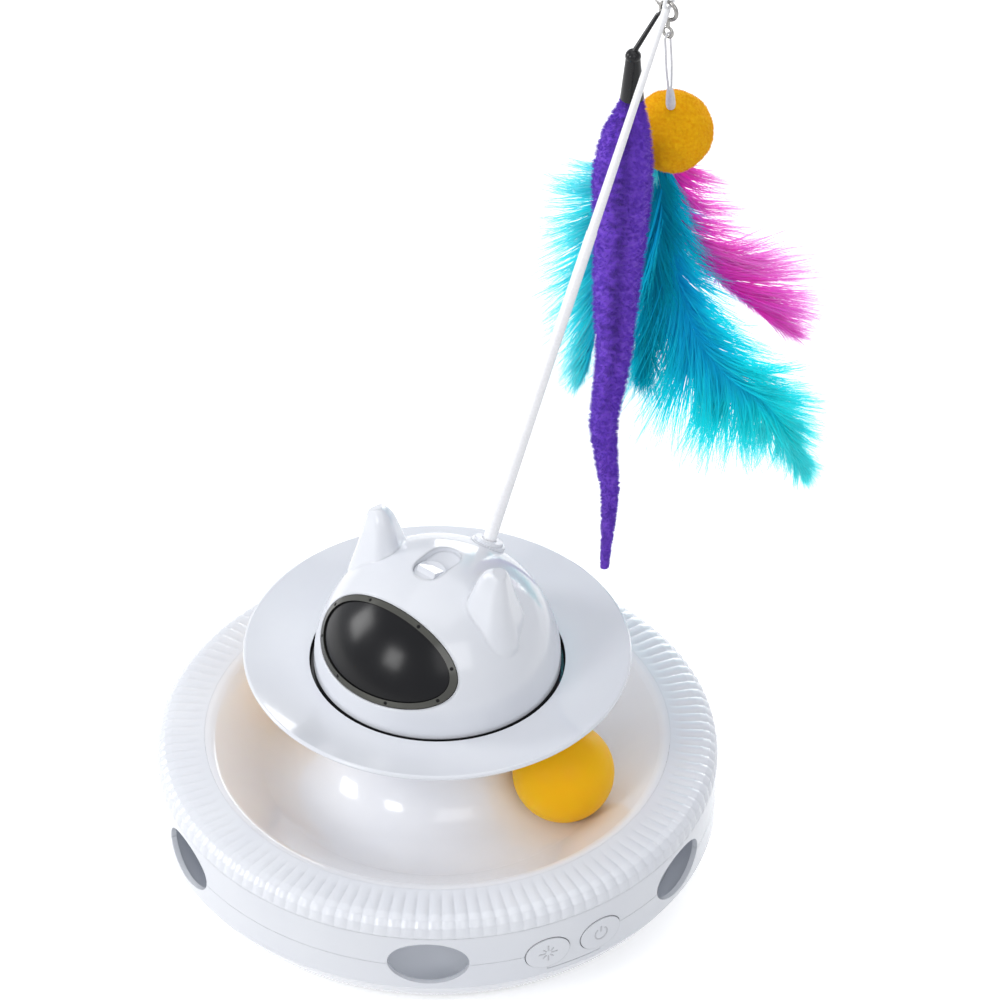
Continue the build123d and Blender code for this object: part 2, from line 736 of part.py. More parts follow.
eye_centre = clasp_centre - Vector(0, 0, clasp_radius + eye_stem + eye_radius)
with BuildPart() as clasp_body:
    with BuildSketch(across_clasp(clasp_start, clasp_radius)):
        Circle(clasp_wire)
    revolve(axis=clasp_axis, revolution_arc=clasp_sweep)
    with BuildSketch(Plane(origin=eye_centre + Vector(0, 0, eye_radius), z_dir=(0, 0, 1))):
        Circle(clasp_wire)
    extrude(amount=eye_stem)
    with Locations(Plane(origin=eye_centre, z_dir=(0, 1, 0))):
        Torus(eye_radius, eye_wire)
save(clasp_body.part, "clasp_body", head_turn)

with BuildPart() as clasp_lever:
    with BuildSketch(across_clasp(lever_start, clasp_radius)):
        Circle(lever_wire)
    revolve(axis=clasp_axis, revolution_arc=lever_sweep)
save(clasp_lever.part, "clasp_lever", head_turn)

# Lure places, measured from the eyelet
lure_side = Vector(cos(radians(lure_turn)), sin(radians(lure_turn)), 0)
lure_back = Vector(-sin(radians(lure_turn)), cos(radians(lure_turn)), 0)


def lure_point(sway, depth, drop):
    """A place on the lure, by its sway, its depth behind the clasp and its drop."""
    return eyelet + lure_side * sway + lure_back * depth - Vector(0, 0, drop)


# Worm cap: a bullet-shaped rubber cap on a thin neck, with a loop round the hook ring
loop_way = around_clasp(loop_turn)
loop_seat = clasp_centre + loop_way * clasp_radius
neck_top = loop_seat + loop_way * (loop_offset + loop_radius + loop_wire / 3)
neck_foot = lure_point(-worm_lean, 0, cap_throat_drop + neck_sunk)
cap_side = Plane(origin=lure_point(-worm_lean, 0, 0), x_dir=lure_side, z_dir=lure_side.cross(Vector(0, 0, 1)))
with BuildPart() as worm_cap:
    with BuildSketch(cap_side):
        with BuildLine():
            Polyline((cap_throat_radius, -cap_throat_drop), (0, -cap_throat_drop), (0, -cap_foot_drop),
                     (cap_radius, -cap_foot_drop), (cap_shoulder_radius, -cap_shoulder_drop))
            SagittaArc((cap_shoulder_radius, -cap_shoulder_drop), (cap_throat_radius, -cap_throat_drop), -cap_bow)
        make_face()
    revolve(axis=Axis(cap_side.origin, (0, 0, 1)))
    with BuildSketch(Plane(origin=neck_top, z_dir=neck_foot - neck_top)):
        Circle(neck_radius)
    with BuildSketch(Plane(origin=neck_foot, z_dir=neck_foot - neck_top)):
        Circle(neck_foot_radius)
    loft(ruled=True)
    with Locations(Plane(origin=loop_seat + loop_way * loop_offset, z_dir=around_clasp(loop_turn + 90))):
        Torus(loop_radius, loop_wire)
save(worm_cap.part, "worm_cap", head_turn)

# Worm: a soft tail that swells under the cap and tapers in a slow curve
with BuildPart() as worm:
    for drop_share, curve_share, radius_share in zip(worm_drop_shares, worm_curve_shares, worm_radius_shares):
        place = lure_point(-worm_lean - worm_curve * curve_share, 0, worm_drop + worm_length * drop_share)
        with BuildSketch(Plane(origin=place, z_dir=(0, 0, -1))):
            with BuildLine():
                for quarter in range(4):
                    CenterArc((0, 0), worm_radius * radius_share, quarter * 90, 90)
            make_face()
    loft()
save(worm.part, "worm", head_turn)

# Pom-pom on a doubled string that loops over the eye of the clasp
string_top = eye_centre - Vector(0, 0, eye_radius)
pom_centre = lure_point(pom_sway, pom_depth, pom_drop)
string_way = (pom_centre - string_top).normalized()
string_plane = Plane(origin=string_top, x_dir=string_way.cross(Vector(1, 0, 0)),
                     z_dir=string_way.cross(Vector(1, 0, 0)).cross(-string_way))
with BuildPart() as pom_string:
    with BuildLine(string_plane) as string_route:
        Line((-strand_half_gap, -strand_length), (-strand_half_gap, 0))
        RadiusArc((-strand_half_gap, 0), (strand_half_gap, 0), strand_half_gap)
        Line((strand_half_gap, 0), (strand_half_gap, -strand_length))
    with BuildSketch(Plane(origin=string_route.line @ 0, z_dir=string_route.line % 0)):
        Circle(strand_radius)
    sweep()
save(pom_string.part, "pom_string", head_turn)
print("string bend radius", strand_half_gap, "string length", round(string_route.wire().length, 1))

sleeve_length = (pom_centre - string_top).length - pom_radius - strand_length - 2 * seam_gap
with BuildPart() as string_sleeve:
    with BuildSketch(Plane(origin=string_top + string_way * (strand_length + seam_gap), z_dir=string_way)):
        Circle(sleeve_radius)
    extrude(amount=sleeve_length)
save(string_sleeve.part, "string_sleeve", head_turn)

with BuildPart() as pom_pom:
    with Locations(pom_centre):
        Sphere(pom_radius)
save(pom_pom.part, "pom_pom", head_turn)

# Feathers: thin curved leaves that fan out from under the pom-pom
for label, (tip_sway_share, tip_drop_share) in feather_tip_shares.items():
    near_share, far_share = feather_bulge_shares[label]
    depth = pom_depth * feather_depth_shares[label]
    root_reach = Vector(feather_root_sway - pom_sway, depth - pom_depth).length
    root_drop = pom_drop + sqrt(pom_radius**2 - root_reach**2) + clearance
    root_near = (feather_root_sway - feather_root_half_width, -root_drop)
    root_far = (feather_root_sway + feather_root_half_width, -root_drop)
    tip = (feather_drop * tip_sway_share, -feather_drop * tip_drop_share)
    feather_plane = Plane(origin=lure_point(0, depth, 0), x_dir=lure_side,
                          z_dir=lure_side.cross(Vector(0, 0, 1)))
    with BuildPart() as feather:
        with BuildSketch(feather_plane):
            with BuildLine():
                Line(root_far, root_near)
                SagittaArc(root_near, tip, -feather_drop * near_share)
                SagittaArc(tip, root_far, -feather_drop * far_share)
            make_face()
        extrude(amount=feather_thickness / 2, both=True)
    save(feather.part, label, head_turn)
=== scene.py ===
import math
import random

import bpy
from mathutils import Matrix, Vector, noise


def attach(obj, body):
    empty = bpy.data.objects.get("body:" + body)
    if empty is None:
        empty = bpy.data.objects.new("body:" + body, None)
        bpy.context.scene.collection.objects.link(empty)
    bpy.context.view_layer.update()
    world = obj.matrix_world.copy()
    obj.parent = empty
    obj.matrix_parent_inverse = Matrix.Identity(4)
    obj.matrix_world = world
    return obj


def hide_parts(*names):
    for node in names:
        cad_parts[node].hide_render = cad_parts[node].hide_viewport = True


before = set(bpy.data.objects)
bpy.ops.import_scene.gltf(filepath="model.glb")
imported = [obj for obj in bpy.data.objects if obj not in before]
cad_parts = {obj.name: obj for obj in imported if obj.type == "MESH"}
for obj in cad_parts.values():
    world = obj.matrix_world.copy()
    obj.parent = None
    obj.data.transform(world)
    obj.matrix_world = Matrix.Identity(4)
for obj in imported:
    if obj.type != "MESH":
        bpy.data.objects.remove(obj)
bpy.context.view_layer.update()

# Automatic cat toy, dressed: metres, Z up, the same frame as the solids.
mm = 0.001
random.seed(7)
scene = bpy.context.scene

# Camera
camera_distance = 2.194
camera_rise = math.radians(41.83)
camera_turn = math.radians(1.86)
camera_target_z = 40 * mm
camera_yaw = math.radians(0.9192)
camera_pitch = math.radians(-38.8214)
camera_roll = math.radians(0.5763)
camera_lens = 180
camera_sensor = 36
camera_sight = 20

# Places repeated from the solids
head_turn_degrees = -38.3
lure_turn_degrees = 40.2
head_turn = math.radians(head_turn_degrees)
lure_turn = math.radians(lure_turn_degrees + head_turn_degrees)
wand_tilt = math.radians(27.85)
dome_radius = 53.3 * mm
dome_centre_z = 101.2 * mm
wand_foot_y = 33.6 * mm
wand_foot_lift = 0.4 * mm
wand_foot_z = dome_centre_z + math.sqrt(dome_radius**2 - wand_foot_y**2) + wand_foot_lift
rod_length = 244.5
eyelet_lift = 2.9
eyelet_reach = (rod_length + eyelet_lift) * mm
clasp_size = 4.2
swivel_length = 4.0
eye_size = 2.4
clasp_radius = clasp_size * mm
eye_drop = (clasp_size + swivel_length + eye_size) * mm
eye_radius = eye_size * mm

up = Vector((0, 0, 1))
head_side = Vector((math.cos(head_turn), math.sin(head_turn), 0))
head_back = Vector((-math.sin(head_turn), math.cos(head_turn), 0))
lure_side = Vector((math.cos(lure_turn), math.sin(lure_turn), 0))
lure_back = Vector((-math.sin(lure_turn), math.cos(lure_turn), 0))
wand_way = head_back * math.sin(wand_tilt) + up * math.cos(wand_tilt)
wand_foot = head_back * wand_foot_y + up * wand_foot_z
eyelet = wand_foot + wand_way * eyelet_reach
clasp_centre = eyelet - up * clasp_radius


def outward(turn):
    """The level direction at a turn in degrees from the front peek hole."""
    return Vector((math.sin(math.radians(turn)), -math.cos(math.radians(turn)), 0))


def lure_point(sway, depth, drop):
    """A place on the lure in millimetres: its sway, its depth behind the clasp and its drop."""
    return eyelet + (lure_side * sway + lure_back * depth - up * drop) * mm


def along(points, share):
    """A point on a smooth line through the given points, by share of their number."""
    place = min(max(share, 0), 1) * (len(points) - 1)
    number = min(int(place), len(points) - 2)
    part = place - number
    before = points[max(number - 1, 0)]
    start = points[number]
    end = points[number + 1]
    after = points[min(number + 2, len(points) - 1)]
    first = (end - before) * 0.5
    second = (after - start) * 0.5
    return (start * (2 * part**3 - 3 * part**2 + 1) + first * (part**3 - 2 * part**2 + part)
            + end * (3 * part**2 - 2 * part**3) + second * (part**3 - part**2))


def station_before(stations, share):
    """The number of the station before a share of the length, and the part of the way to the next."""
    low = 0
    while low < len(stations) - 2 and stations[low + 1].x < share:
        low += 1
    return low, (share - stations[low].x) / (stations[low + 1].x - stations[low].x)


# Materials
coat_rough = 0.06
scatter_depth = 2 * mm
edge_samples = 4
noise_detail = 3.0

# The span in which most noise falls
noise_low = 0.3
noise_high = 0.7

# Sockets of a Mix node by number, because their names repeat
mix_share = 0
first_vector = 4
second_vector = 5
first_colour = 6
second_colour = 7
mixed_vector = 1
mixed_colour = 2


def new_material(name):
    """A fresh node material and its parts."""
    made = bpy.data.materials.new(name)
    made.use_nodes = True
    tree = made.node_tree
    return made, tree.nodes, tree.links, tree.nodes["Principled BSDF"]


def noise_node(nodes, links, scale):
    """Noise in the object's own space, with a scale per metre."""
    where = nodes.new("ShaderNodeTexCoord")
    texture = nodes.new("ShaderNodeTexNoise")
    texture.inputs["Scale"].default_value = scale
    texture.inputs["Detail"].default_value = noise_detail
    links.new(where.outputs["Object"], texture.inputs["Vector"])
    return texture.outputs["Fac"]


def spread(nodes, links, source, low, high, start=noise_low, end=noise_high):
    """Maps a span of a value, that of noise if none is given, onto a range."""
    ranged = nodes.new("ShaderNodeMapRange")
    ranged.inputs["From Min"].default_value = start
    ranged.inputs["From Max"].default_value = end
    ranged.inputs["To Min"].default_value = low
    ranged.inputs["To Max"].default_value = high
    links.new(source, ranged.inputs["Value"])
    return ranged.outputs["Result"]


def colour_mix(nodes, links, share, second):
    """A node that mixes a colour towards a second one by a share."""
    mix = nodes.new("ShaderNodeMix")
    mix.data_type = "RGBA"
    links.new(share, mix.inputs[mix_share])
    mix.inputs[second_colour].default_value = (*second, 1)
    return mix


def two_colours(nodes, links, source, first, second, start=noise_low, end=noise_high):
    """Blends two colours by a value."""
    mix = colour_mix(nodes, links, spread(nodes, links, source, 0, 1, start, end), second)
    mix.inputs[first_colour].default_value = (*first, 1)
    return mix.outputs[mixed_colour]


def bumped(nodes, links, shader, source, distance, edge):
    """Adds relief from a value, by a depth in metres, over edges softened by a radius."""
    bump = nodes.new("ShaderNodeBump")
    bump.inputs["Distance"].default_value = distance
    links.new(source, bump.inputs["Height"])
    links.new(bump.outputs["Normal"], shader.inputs["Normal"])
    if edge:
        bevel = nodes.new("ShaderNodeBevel")
        bevel.samples = edge_samples
        bevel.inputs["Radius"].default_value = edge
        links.new(bevel.outputs["Normal"], bump.inputs["Normal"])


def surface(name, first, second, rough, grain, depth, patch=30.0, metallic=0.0, coat=0.0, sheen=0.0,
            subsurface=0.0, edge=0.0, tint=(1, 1, 1), shine=0.5, scatter=scatter_depth):
    """A finish with patchy colour, uneven gloss and fine grain, whose depth is in millimetres."""
    made, nodes, links, shader = new_material(name)
    links.new(two_colours(nodes, links, noise_node(nodes, links, patch), first, second),
              shader.inputs["Base Color"])
    fine = noise_node(nodes, links, grain)
    links.new(spread(nodes, links, fine, rough[0], rough[1]), shader.inputs["Roughness"])
    bumped(nodes, links, shader, fine, depth * mm, edge)
    values = {"Metallic": metallic, "Coat Weight": coat, "Coat Roughness": coat_rough, "Sheen Weight": sheen,
              "Sheen Tint": (*tint, 1), "Specular IOR Level": shine, "Subsurface Weight": subsurface,
              "Subsurface Scale": scatter}
    for socket, value in values.items():
        shader.inputs[socket].default_value = value
    return made


def paint_shade(made, mask, dark):
    """Paints shade into a finish: blends its colour towards a dark colour by a mask in its own nodes."""
    nodes = made.node_tree.nodes
    links = made.node_tree.links
    shader = nodes["Principled BSDF"]
    mix = colour_mix(nodes, links, mask, dark)
    links.new(shader.inputs["Base Color"].links[0].from_socket, mix.inputs[first_colour])
    links.new(mix.outputs[mixed_colour], shader.inputs["Base Color"])


white_first = (0.79, 0.81, 0.85)
white_second = (0.76, 0.78, 0.83)
shell_gloss = (0.10, 0.17)
mould_grain = 700
mould_depth = 0.004
shell_coat = 0.3


def shell_finish(name, edge):
    """The glossy white of the shell, with edges softened by a radius."""
    return surface(name, white_first, white_second, rough=shell_gloss, grain=mould_grain, depth=mould_depth,
                   coat=shell_coat, edge=edge)


white_plastic = shell_finish("white_plastic", 0.45 * mm)
# Painted light: the bowl and pedestal get a lighter copy of the white plastic, against the shade the deck
# casts on them
bowl_plastic_lightened = surface("bowl_plastic_lightened", (0.89, 0.90, 0.93), (0.86, 0.87, 0.91), rough=(0.12, 0.20),
                       grain=mould_grain, depth=mould_depth, coat=shell_coat)
rim_plastic = surface("rim_plastic", (0.82, 0.84, 0.88), (0.79, 0.81, 0.86), rough=(0.18, 0.26),
                      grain=mould_grain, depth=mould_depth, coat=0.15, edge=1.1 * mm)
glowing_inner_plastic = surface("glowing_inner_plastic", (0.90, 0.92, 0.96), (0.87, 0.89, 0.94), rough=(0.35, 0.45),
                        grain=mould_grain, depth=0.01)

# Painted light: the walls behind the peek holes glow faintly, though they are no lamp
painted_glow_colour = (0.90, 0.94, 1.0, 1)
painted_glow_strength = 0.11
inner_glow_shader = glowing_inner_plastic.node_tree.nodes["Principled BSDF"]
inner_glow_shader.inputs["Emission Color"].default_value = painted_glow_colour
inner_glow_shader.inputs["Emission Strength"].default_value = painted_glow_strength

# Deck and head finishes: painted shade darkens the narrow gap round the foot of the head
well_radius = 55.3 * mm
painted_shade_full_z = 100.6 * mm
well_lip_z = 101.1 * mm
gap_painted_shade = (0.02, 0.02, 0.024)


def place_parts(made):
    """The three parts of a place in the object's own space, in a finish's own nodes."""
    nodes = made.node_tree.nodes
    where = nodes.new("ShaderNodeTexCoord")
    parts = nodes.new("ShaderNodeSeparateXYZ")
    made.node_tree.links.new(where.outputs["Object"], parts.inputs["Vector"])
    return parts


def low_mask(made, parts, low, high):
    """One below a height, nought above another, in a finish's own nodes."""
    return spread(made.node_tree.nodes, made.node_tree.links, parts.outputs["Z"], 1, 0, low, high)


def vector_step(made, operation, first, second=None):
    """One step of vector arithmetic in a finish's own nodes."""
    step = made.node_tree.nodes.new("ShaderNodeVectorMath")
    step.operation = operation
    made.node_tree.links.new(first, step.inputs[0])
    if second:
        made.node_tree.links.new(second, step.inputs["Scale" if operation == "SCALE" else 1])
    return step.outputs["Value" if operation == "LENGTH" else "Vector"]


def axis_reach(made, parts):
    """The level distance from the axis and the level vector there, in a finish's own nodes."""
    flat = made.node_tree.nodes.new("ShaderNodeCombineXYZ")
    for way in ("X", "Y"):
        made.node_tree.links.new(parts.outputs[way], flat.inputs[way])
    return vector_step(made, "LENGTH", flat.outputs["Vector"]), flat.outputs["Vector"]


head_plastic = shell_finish("head_plastic", 2 * mm)
# Painted shade on the head's foot, below the lip of the well
paint_shade(head_plastic, low_mask(head_plastic, place_parts(head_plastic), painted_shade_full_z, well_lip_z), gap_painted_shade)

deck_plastic = shell_finish("deck_plastic", 0)
deck_nodes = deck_plastic.node_tree.nodes
deck_links = deck_plastic.node_tree.links
deck_parts = place_parts(deck_plastic)
# Painted shade on the deck inside the well, below its lip
deck_shade_low = low_mask(deck_plastic, deck_parts, painted_shade_full_z, well_lip_z)
deck_reach = axis_reach(deck_plastic, deck_parts)[0]
deck_shade_near = spread(deck_nodes, deck_links, deck_reach, 1, 0, well_radius, well_radius + mm)
deck_shade_mask = deck_nodes.new("ShaderNodeMath")
deck_shade_mask.operation = "MULTIPLY"
deck_links.new(deck_shade_low, deck_shade_mask.inputs[0])
deck_links.new(deck_shade_near, deck_shade_mask.inputs[1])
paint_shade(deck_plastic, deck_shade_mask.outputs["Value"], gap_painted_shade)

# Rim finish: the shading leans towards the plain shoulder, so that the flutes fade over the crest
rim_outer = 122.3 * mm
rim_inner = 101.35 * mm
shoulder_radius = 6.8 * mm
shoulder_z = 51.7 * mm
crest_fade = 0.8
wall_fade = 0.1
rim_nodes = rim_plastic.node_tree.nodes
rim_links = rim_plastic.node_tree.links
rim_parts = place_parts(rim_plastic)
rim_reach, rim_flat = axis_reach(rim_plastic, rim_parts)
rim_out = spread(rim_nodes, rim_links, rim_reach, 0, shoulder_radius, rim_outer - shoulder_radius,
                 rim_outer)
rim_rise = spread(rim_nodes, rim_links, rim_parts.outputs["Z"], 0, shoulder_radius, shoulder_z,
                  shoulder_z + shoulder_radius)
rim_up = rim_nodes.new("ShaderNodeCombineXYZ")
rim_links.new(rim_rise, rim_up.inputs["Z"])
rim_side = vector_step(rim_plastic, "SCALE", vector_step(rim_plastic, "NORMALIZE", rim_flat), rim_out)
rim_sum = vector_step(rim_plastic, "ADD", rim_side, rim_up.outputs["Vector"])
rim_mix = rim_nodes.new("ShaderNodeMix")
rim_mix.data_type = "VECTOR"
rim_links.new(spread(rim_nodes, rim_links, rim_reach, crest_fade, wall_fade, rim_inner, rim_outer),
              rim_mix.inputs[mix_share])
rim_links.new(rim_nodes["Bevel"].outputs["Normal"], rim_mix.inputs[first_vector])
rim_links.new(vector_step(rim_plastic, "NORMALIZE", rim_sum), rim_mix.inputs[second_vector])
rim_links.new(rim_mix.outputs[mixed_vector], rim_nodes["Bump"].inputs["Normal"])

# Finishes of the small parts
rod_plastic = surface("rod_plastic", (0.96, 0.96, 0.97), (0.93, 0.93, 0.95), rough=(0.22, 0.34),
                      grain=900, depth=0.006)
# Dark grey for the rings of painted shadow in the gaps round the buttons
gap_shadow_grey = surface("gap_shadow_grey", (0.10, 0.10, 0.11), (0.07, 0.07, 0.08), rough=(0.6, 0.8), grain=2000,
                    depth=0.01, shine=0.2)
symbol_grey = surface("symbol_grey", (0.60, 0.61, 0.64), (0.55, 0.56, 0.60), rough=(0.35, 0.45),
                      grain=2000, depth=0.004)
lens_smoke = surface("lens_smoke", (0.002, 0.002, 0.003), (0.004, 0.004, 0.005), rough=(0.20, 0.26),
                     grain=60, depth=0.002, shine=0.25)
rim_clear = surface("rim_clear", (0.080, 0.080, 0.066), (0.045, 0.045, 0.038), rough=(0.14, 0.24),
                    grain=500, depth=0.01)
peg_dark = surface("peg_dark", (0.008, 0.008, 0.008), (0.014, 0.014, 0.014), rough=(0.3, 0.4), grain=900,
                   depth=0.01, shine=0.1)
dark_plastic = surface("dark_plastic", (0.03, 0.03, 0.032), (0.045, 0.045, 0.047), rough=(0.45, 0.55),
                       grain=900, depth=0.02)
ball_plastic = surface("ball_plastic", (1.0, 0.54, 0.006), (0.98, 0.50, 0.004), rough=(0.38, 0.48),
                       grain=1300, depth=0.01, subsurface=0.4, scatter=9 * mm, shine=0.15)
nickel = surface("nickel", (0.40, 0.39, 0.37), (0.26, 0.25, 0.24), rough=(0.14, 0.28), grain=900,
                 depth=0.02, metallic=1.0)
black_rubber = surface("black_rubber", (0.006, 0.006, 0.007), (0.012, 0.012, 0.013), rough=(0.18, 0.28),
                       grain=1200, depth=0.01, shine=0.3)
foot_rubber = surface("foot_rubber", (0.16, 0.16, 0.17), (0.20, 0.20, 0.21), rough=(0.7, 0.85),
                      grain=1500, depth=0.04)
motor_steel = surface("motor_steel", (0.55, 0.55, 0.57), (0.45, 0.45, 0.47), rough=(0.25, 0.4),
                      grain=900, depth=0.02, metallic=1.0)
cell_wrap = surface("cell_wrap", (0.06, 0.24, 0.50), (0.05, 0.20, 0.44), rough=(0.25, 0.35), grain=900,
                    depth=0.01)
board_green = surface("board_green", (0.02, 0.14, 0.05), (0.03, 0.19, 0.07), rough=(0.3, 0.5),
                      grain=1200, depth=0.01)
string_cotton = surface("string_cotton", (0.80, 0.80, 0.82), (0.68, 0.68, 0.71), rough=(0.7, 0.9),
                        grain=2600, depth=0.05, patch=900, sheen=0.2)
felt_yellow = surface("felt_yellow", (1.0, 0.57, 0.010), (0.90, 0.42, 0.003), rough=(0.85, 0.95),
                      grain=1600, depth=0.3, patch=700, sheen=0.3, tint=(1, 0.65, 0.12), shine=0.1)
pile_purple = surface("pile_purple", (0.23, 0.085, 0.72), (0.16, 0.055, 0.58), rough=(0.8, 0.95),
                      grain=1400, depth=0.2, patch=260, sheen=0.5, tint=(0.6, 0.45, 1), shine=0.1)
# Painted shade in the recessed parting down the worm's front, plus random darker patches, by a share kept on
# the points
parting_shade_colour = (0.05, 0.018, 0.22)
parting_shade_node = pile_purple.node_tree.nodes.new("ShaderNodeAttribute")
parting_shade_node.attribute_name = "parting"
paint_shade(pile_purple, parting_shade_node.outputs["Fac"], parting_shade_colour)

foot_count = 7
finish_nodes = [
    (white_plastic, ["pan_floor", "pan_wall", "side_band", "head_hub", "wand_socket", "head_slider",
                     "button_light", "button_power"]),
    (bowl_plastic_lightened, ["track_bowl", "pedestal"]), (rim_plastic, ["fluted_rim"]),
    (glowing_inner_plastic, ["guard_ring"]), (deck_plastic, ["deck"]), (head_plastic, ["head_shell"]),
    (motor_steel, ["gear_motor", "charge_inlet"]), (cell_wrap, ["battery_cell"]),
    (board_green, ["switch_board"]), (rim_clear, ["visor_rim"]), (lens_smoke, ["visor_lens"]),
    (dark_plastic, ["visor_backing"]), (rod_plastic, ["wand_rod", "wand_tip"]),
    (nickel, ["clasp_body", "clasp_lever"]), (black_rubber, ["worm_cap"]),
    (ball_plastic, ["ball_1", "ball_2"]),
    (foot_rubber, [f"foot_{number}" for number in range(1, foot_count + 1)]),
]


def put_on(piece, finish):
    """Gives a piece one finish in every slot."""
    if not piece.material_slots:
        piece.data.materials.append(finish)
    for slot in piece.material_slots:
        slot.material = finish


for finish, nodes in finish_nodes:
    for node in nodes:
        put_on(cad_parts[node], finish)


# Pieces
def mesh_piece(name, points, faces, finish, body, soft=True):
    """A mesh in the shared frame that rides on a body."""
    mesh = bpy.data.meshes.new(name)
    mesh.from_pydata([tuple(point) for point in points], [], faces)
    mesh.validate()
    mesh.update()
    if soft:
        for polygon in mesh.polygons:
            polygon.use_smooth = True
    piece = bpy.data.objects.new(name, mesh)
    scene.collection.objects.link(piece)
    piece.data.materials.append(finish)
    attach(piece, body)
    return piece


near_upright = 0.9


def any_across(way):
    """Two directions square to a way and to each other."""
    helper = up if abs(way.z) < near_upright else Vector((1, 0, 0))
    first = way.cross(helper).normalized()
    return first, way.cross(first).normalized()


def run_at(line, number):
    """The way a line of points runs at one of them."""
    return (line[min(number + 1, len(line) - 1)] - line[max(number - 1, 0)]).normalized()


def add_ring(points, place, way, radius, sides):
    """Adds a ring of points round a place, square to a way."""
    first, second = any_across(way)
    for side in range(sides):
        angle = 2 * math.pi * side / sides
        points.append(place + (first * math.cos(angle) + second * math.sin(angle)) * radius)


def join_rings(faces, start, rings, sides, flipped=False):
    """Adds the faces between rings of points that follow each other, turned over if flipped."""
    for ring in range(rings - 1):
        here = start + ring * sides
        for side in range(sides):
            after = (side + 1) % sides
            left, right = (after, side) if flipped else (side, after)
            faces.append((here + left, here + right, here + sides + right, here + sides + left))


def add_strand(points, faces, line, widths, sides):
    """Adds a thin closed strand along a line of points, one width for each."""
    start = len(points)
    for number, place in enumerate(line):
        add_ring(points, place, run_at(line, number), widths[number], sides)
    join_rings(faces, start, len(line), sides)
    faces.append(tuple(start + side for side in reversed(range(sides))))
    last = start + (len(line) - 1) * sides
    faces.append(tuple(last + side for side in range(sides)))


blade_sides = 4


def add_blade(points, faces, line, widths, facing, thickness):
    """Adds a slim closed blade along a line of points, wide across the facing way."""
    start = len(points)
    for number, place in enumerate(line):
        run = run_at(line, number)
        across = run.cross(facing).normalized()
        slim = across.cross(run)
        half_width = widths[number]
        corners = ((across, half_width), (slim, thickness), (-across, half_width), (-slim, thickness))
        for way, reach in corners:
            points.append(place + way * reach)
    join_rings(faces, start, len(line), blade_sides)
    last = start + blade_sides * (len(line) - 1)
    faces.append((start + 3, start + 2, start + 1, start))
    faces.append((last, last + 1, last + 2, last + 3))


def keep_shares(piece, name, shares):
    """Keeps one number for each point of a piece, for its finish."""
    layer = piece.data.attributes.new(name, "FLOAT", "POINT")
    layer.data.foreach_set("value", shares)


def gauss_way(size):
    """A random way, by three draws."""
    return Vector((random.gauss(0, size), random.gauss(0, size), random.gauss(0, size)))


fibre_sides = 3
fibre_points = fibre_sides + 1


def add_fibre(points, faces, root, way, length, width):
    """Adds one short fibre, a slim closed cone of three sides."""
    start = len(points)
    add_ring(points, root, way, width, fibre_sides)
    points.append(root + way * length)
    faces.append((start + 2, start + 1, start))
    for side in range(fibre_sides):
        faces.append((start + side, start + (side + 1) % fibre_sides, start + fibre_sides))


# Worm: a chenille tail with fine rows of pile that part down the front
worm_drop = 48.2
worm_length = 256.6
worm_radius = 12.9
worm_sway = -14.2
worm_curve = -8.2
worm_drop_shares = [0, 0.06, 0.14, 0.24, 0.42, 0.54, 0.67, 0.75, 0.82, 0.9, 1]
worm_curve_shares = [0, 0.22, 0.36, 0.4, 0.54, 0.6, 1, 0.84, 0.6, 0.63, 0.76]
worm_radius_shares = [0.36, 0.75, 1, 0.94, 0.76, 0.61, 0.5, 0.41, 0.33, 0.25, 0.16]
worm_rings = 420
worm_sides = 56
pile_pitch = 2.6
pile_row_depth = 0.2
pile_length = 1.9
tuft_count = 10000
tuft_fibres = 5
tuft_spread = 0.42
tuft_gather = 0.3
pile_width = 0.09 * mm
parting_depth = 1.3
parting_width = 0.3
parting_end = 0.68
parting_run_out = 0.22
parting_shade = 0.65
parting_shade_width = 0.4
pile_slim_radius = 6
pile_sink = 0.45
row_lag = 1.2
wobble_depth = 0.3
wobble_run = 0.35
wobble_round = 3
ragged_depth = 0.3
ragged_run = 90
ragged_round = 2
ragged_start = 3
tuft_crowding = 1.25
tuft_side_lean = 0.45
tuft_droop = 0.4
tuft_stray = 0.2
tuft_lengths = (0.85, 1.1)
tuft_shade = 0.8
tuft_shade_spread = (-0.1, 0.14)
tuft_root_depth = 0.25

worm_stations = [Vector((drop, curve, radius)) for drop, curve, radius
                 in zip(worm_drop_shares, worm_curve_shares, worm_radius_shares)]


def worm_section(share):
    """Drop, sway and radius of the worm in millimetres, part of the way down it."""
    low, part = station_before(worm_stations, share)
    found = along(worm_stations, (low + part) / (len(worm_stations) - 1))
    return worm_drop + worm_length * share, worm_sway + worm_curve * found.y, worm_radius * found.z


def parting_fade(share):
    """The parting runs down the thick half of the worm and fades out below it."""
    return min(max((parting_end - share) / parting_run_out, 0), 1)


def worm_surface(share, angle):
    """A point of the pile's base and its outward way; angle 0 faces the front."""
    drop, sway, radius = worm_section(share)
    way = lure_side * math.sin(angle) - lure_back * math.cos(angle)
    front = math.exp(-(angle / parting_width)**2) * parting_fade(share)
    wobble = noise.noise(Vector((drop * wobble_run, math.cos(angle) * wobble_round,
                                 math.sin(angle) * wobble_round)))
    row = math.sin(2 * math.pi * (drop + row_lag * abs(math.sin(angle)) + wobble) / pile_pitch)
    body = min(radius / pile_slim_radius, 1)
    reach = (radius - pile_length * pile_sink * body + pile_row_depth * row * body
             + wobble_depth * wobble * body)
    reach -= parting_depth * front * body
    return lure_point(sway, 0, drop) + way * reach * mm, way


def painted_parting_shade(share, angle):
    """How much painted shade darkens the pile in the ragged parting down the front, with random darker
    patches over the rest.
    """
    ragged = noise.noise(Vector((share * ragged_run, angle * ragged_round, ragged_start)))
    away = (angle + ragged_depth * ragged) / parting_shade_width
    middle = parting_shade * math.exp(-away**2) * parting_fade(share)
    return min(max(middle + ragged_depth * ragged, 0), 1)


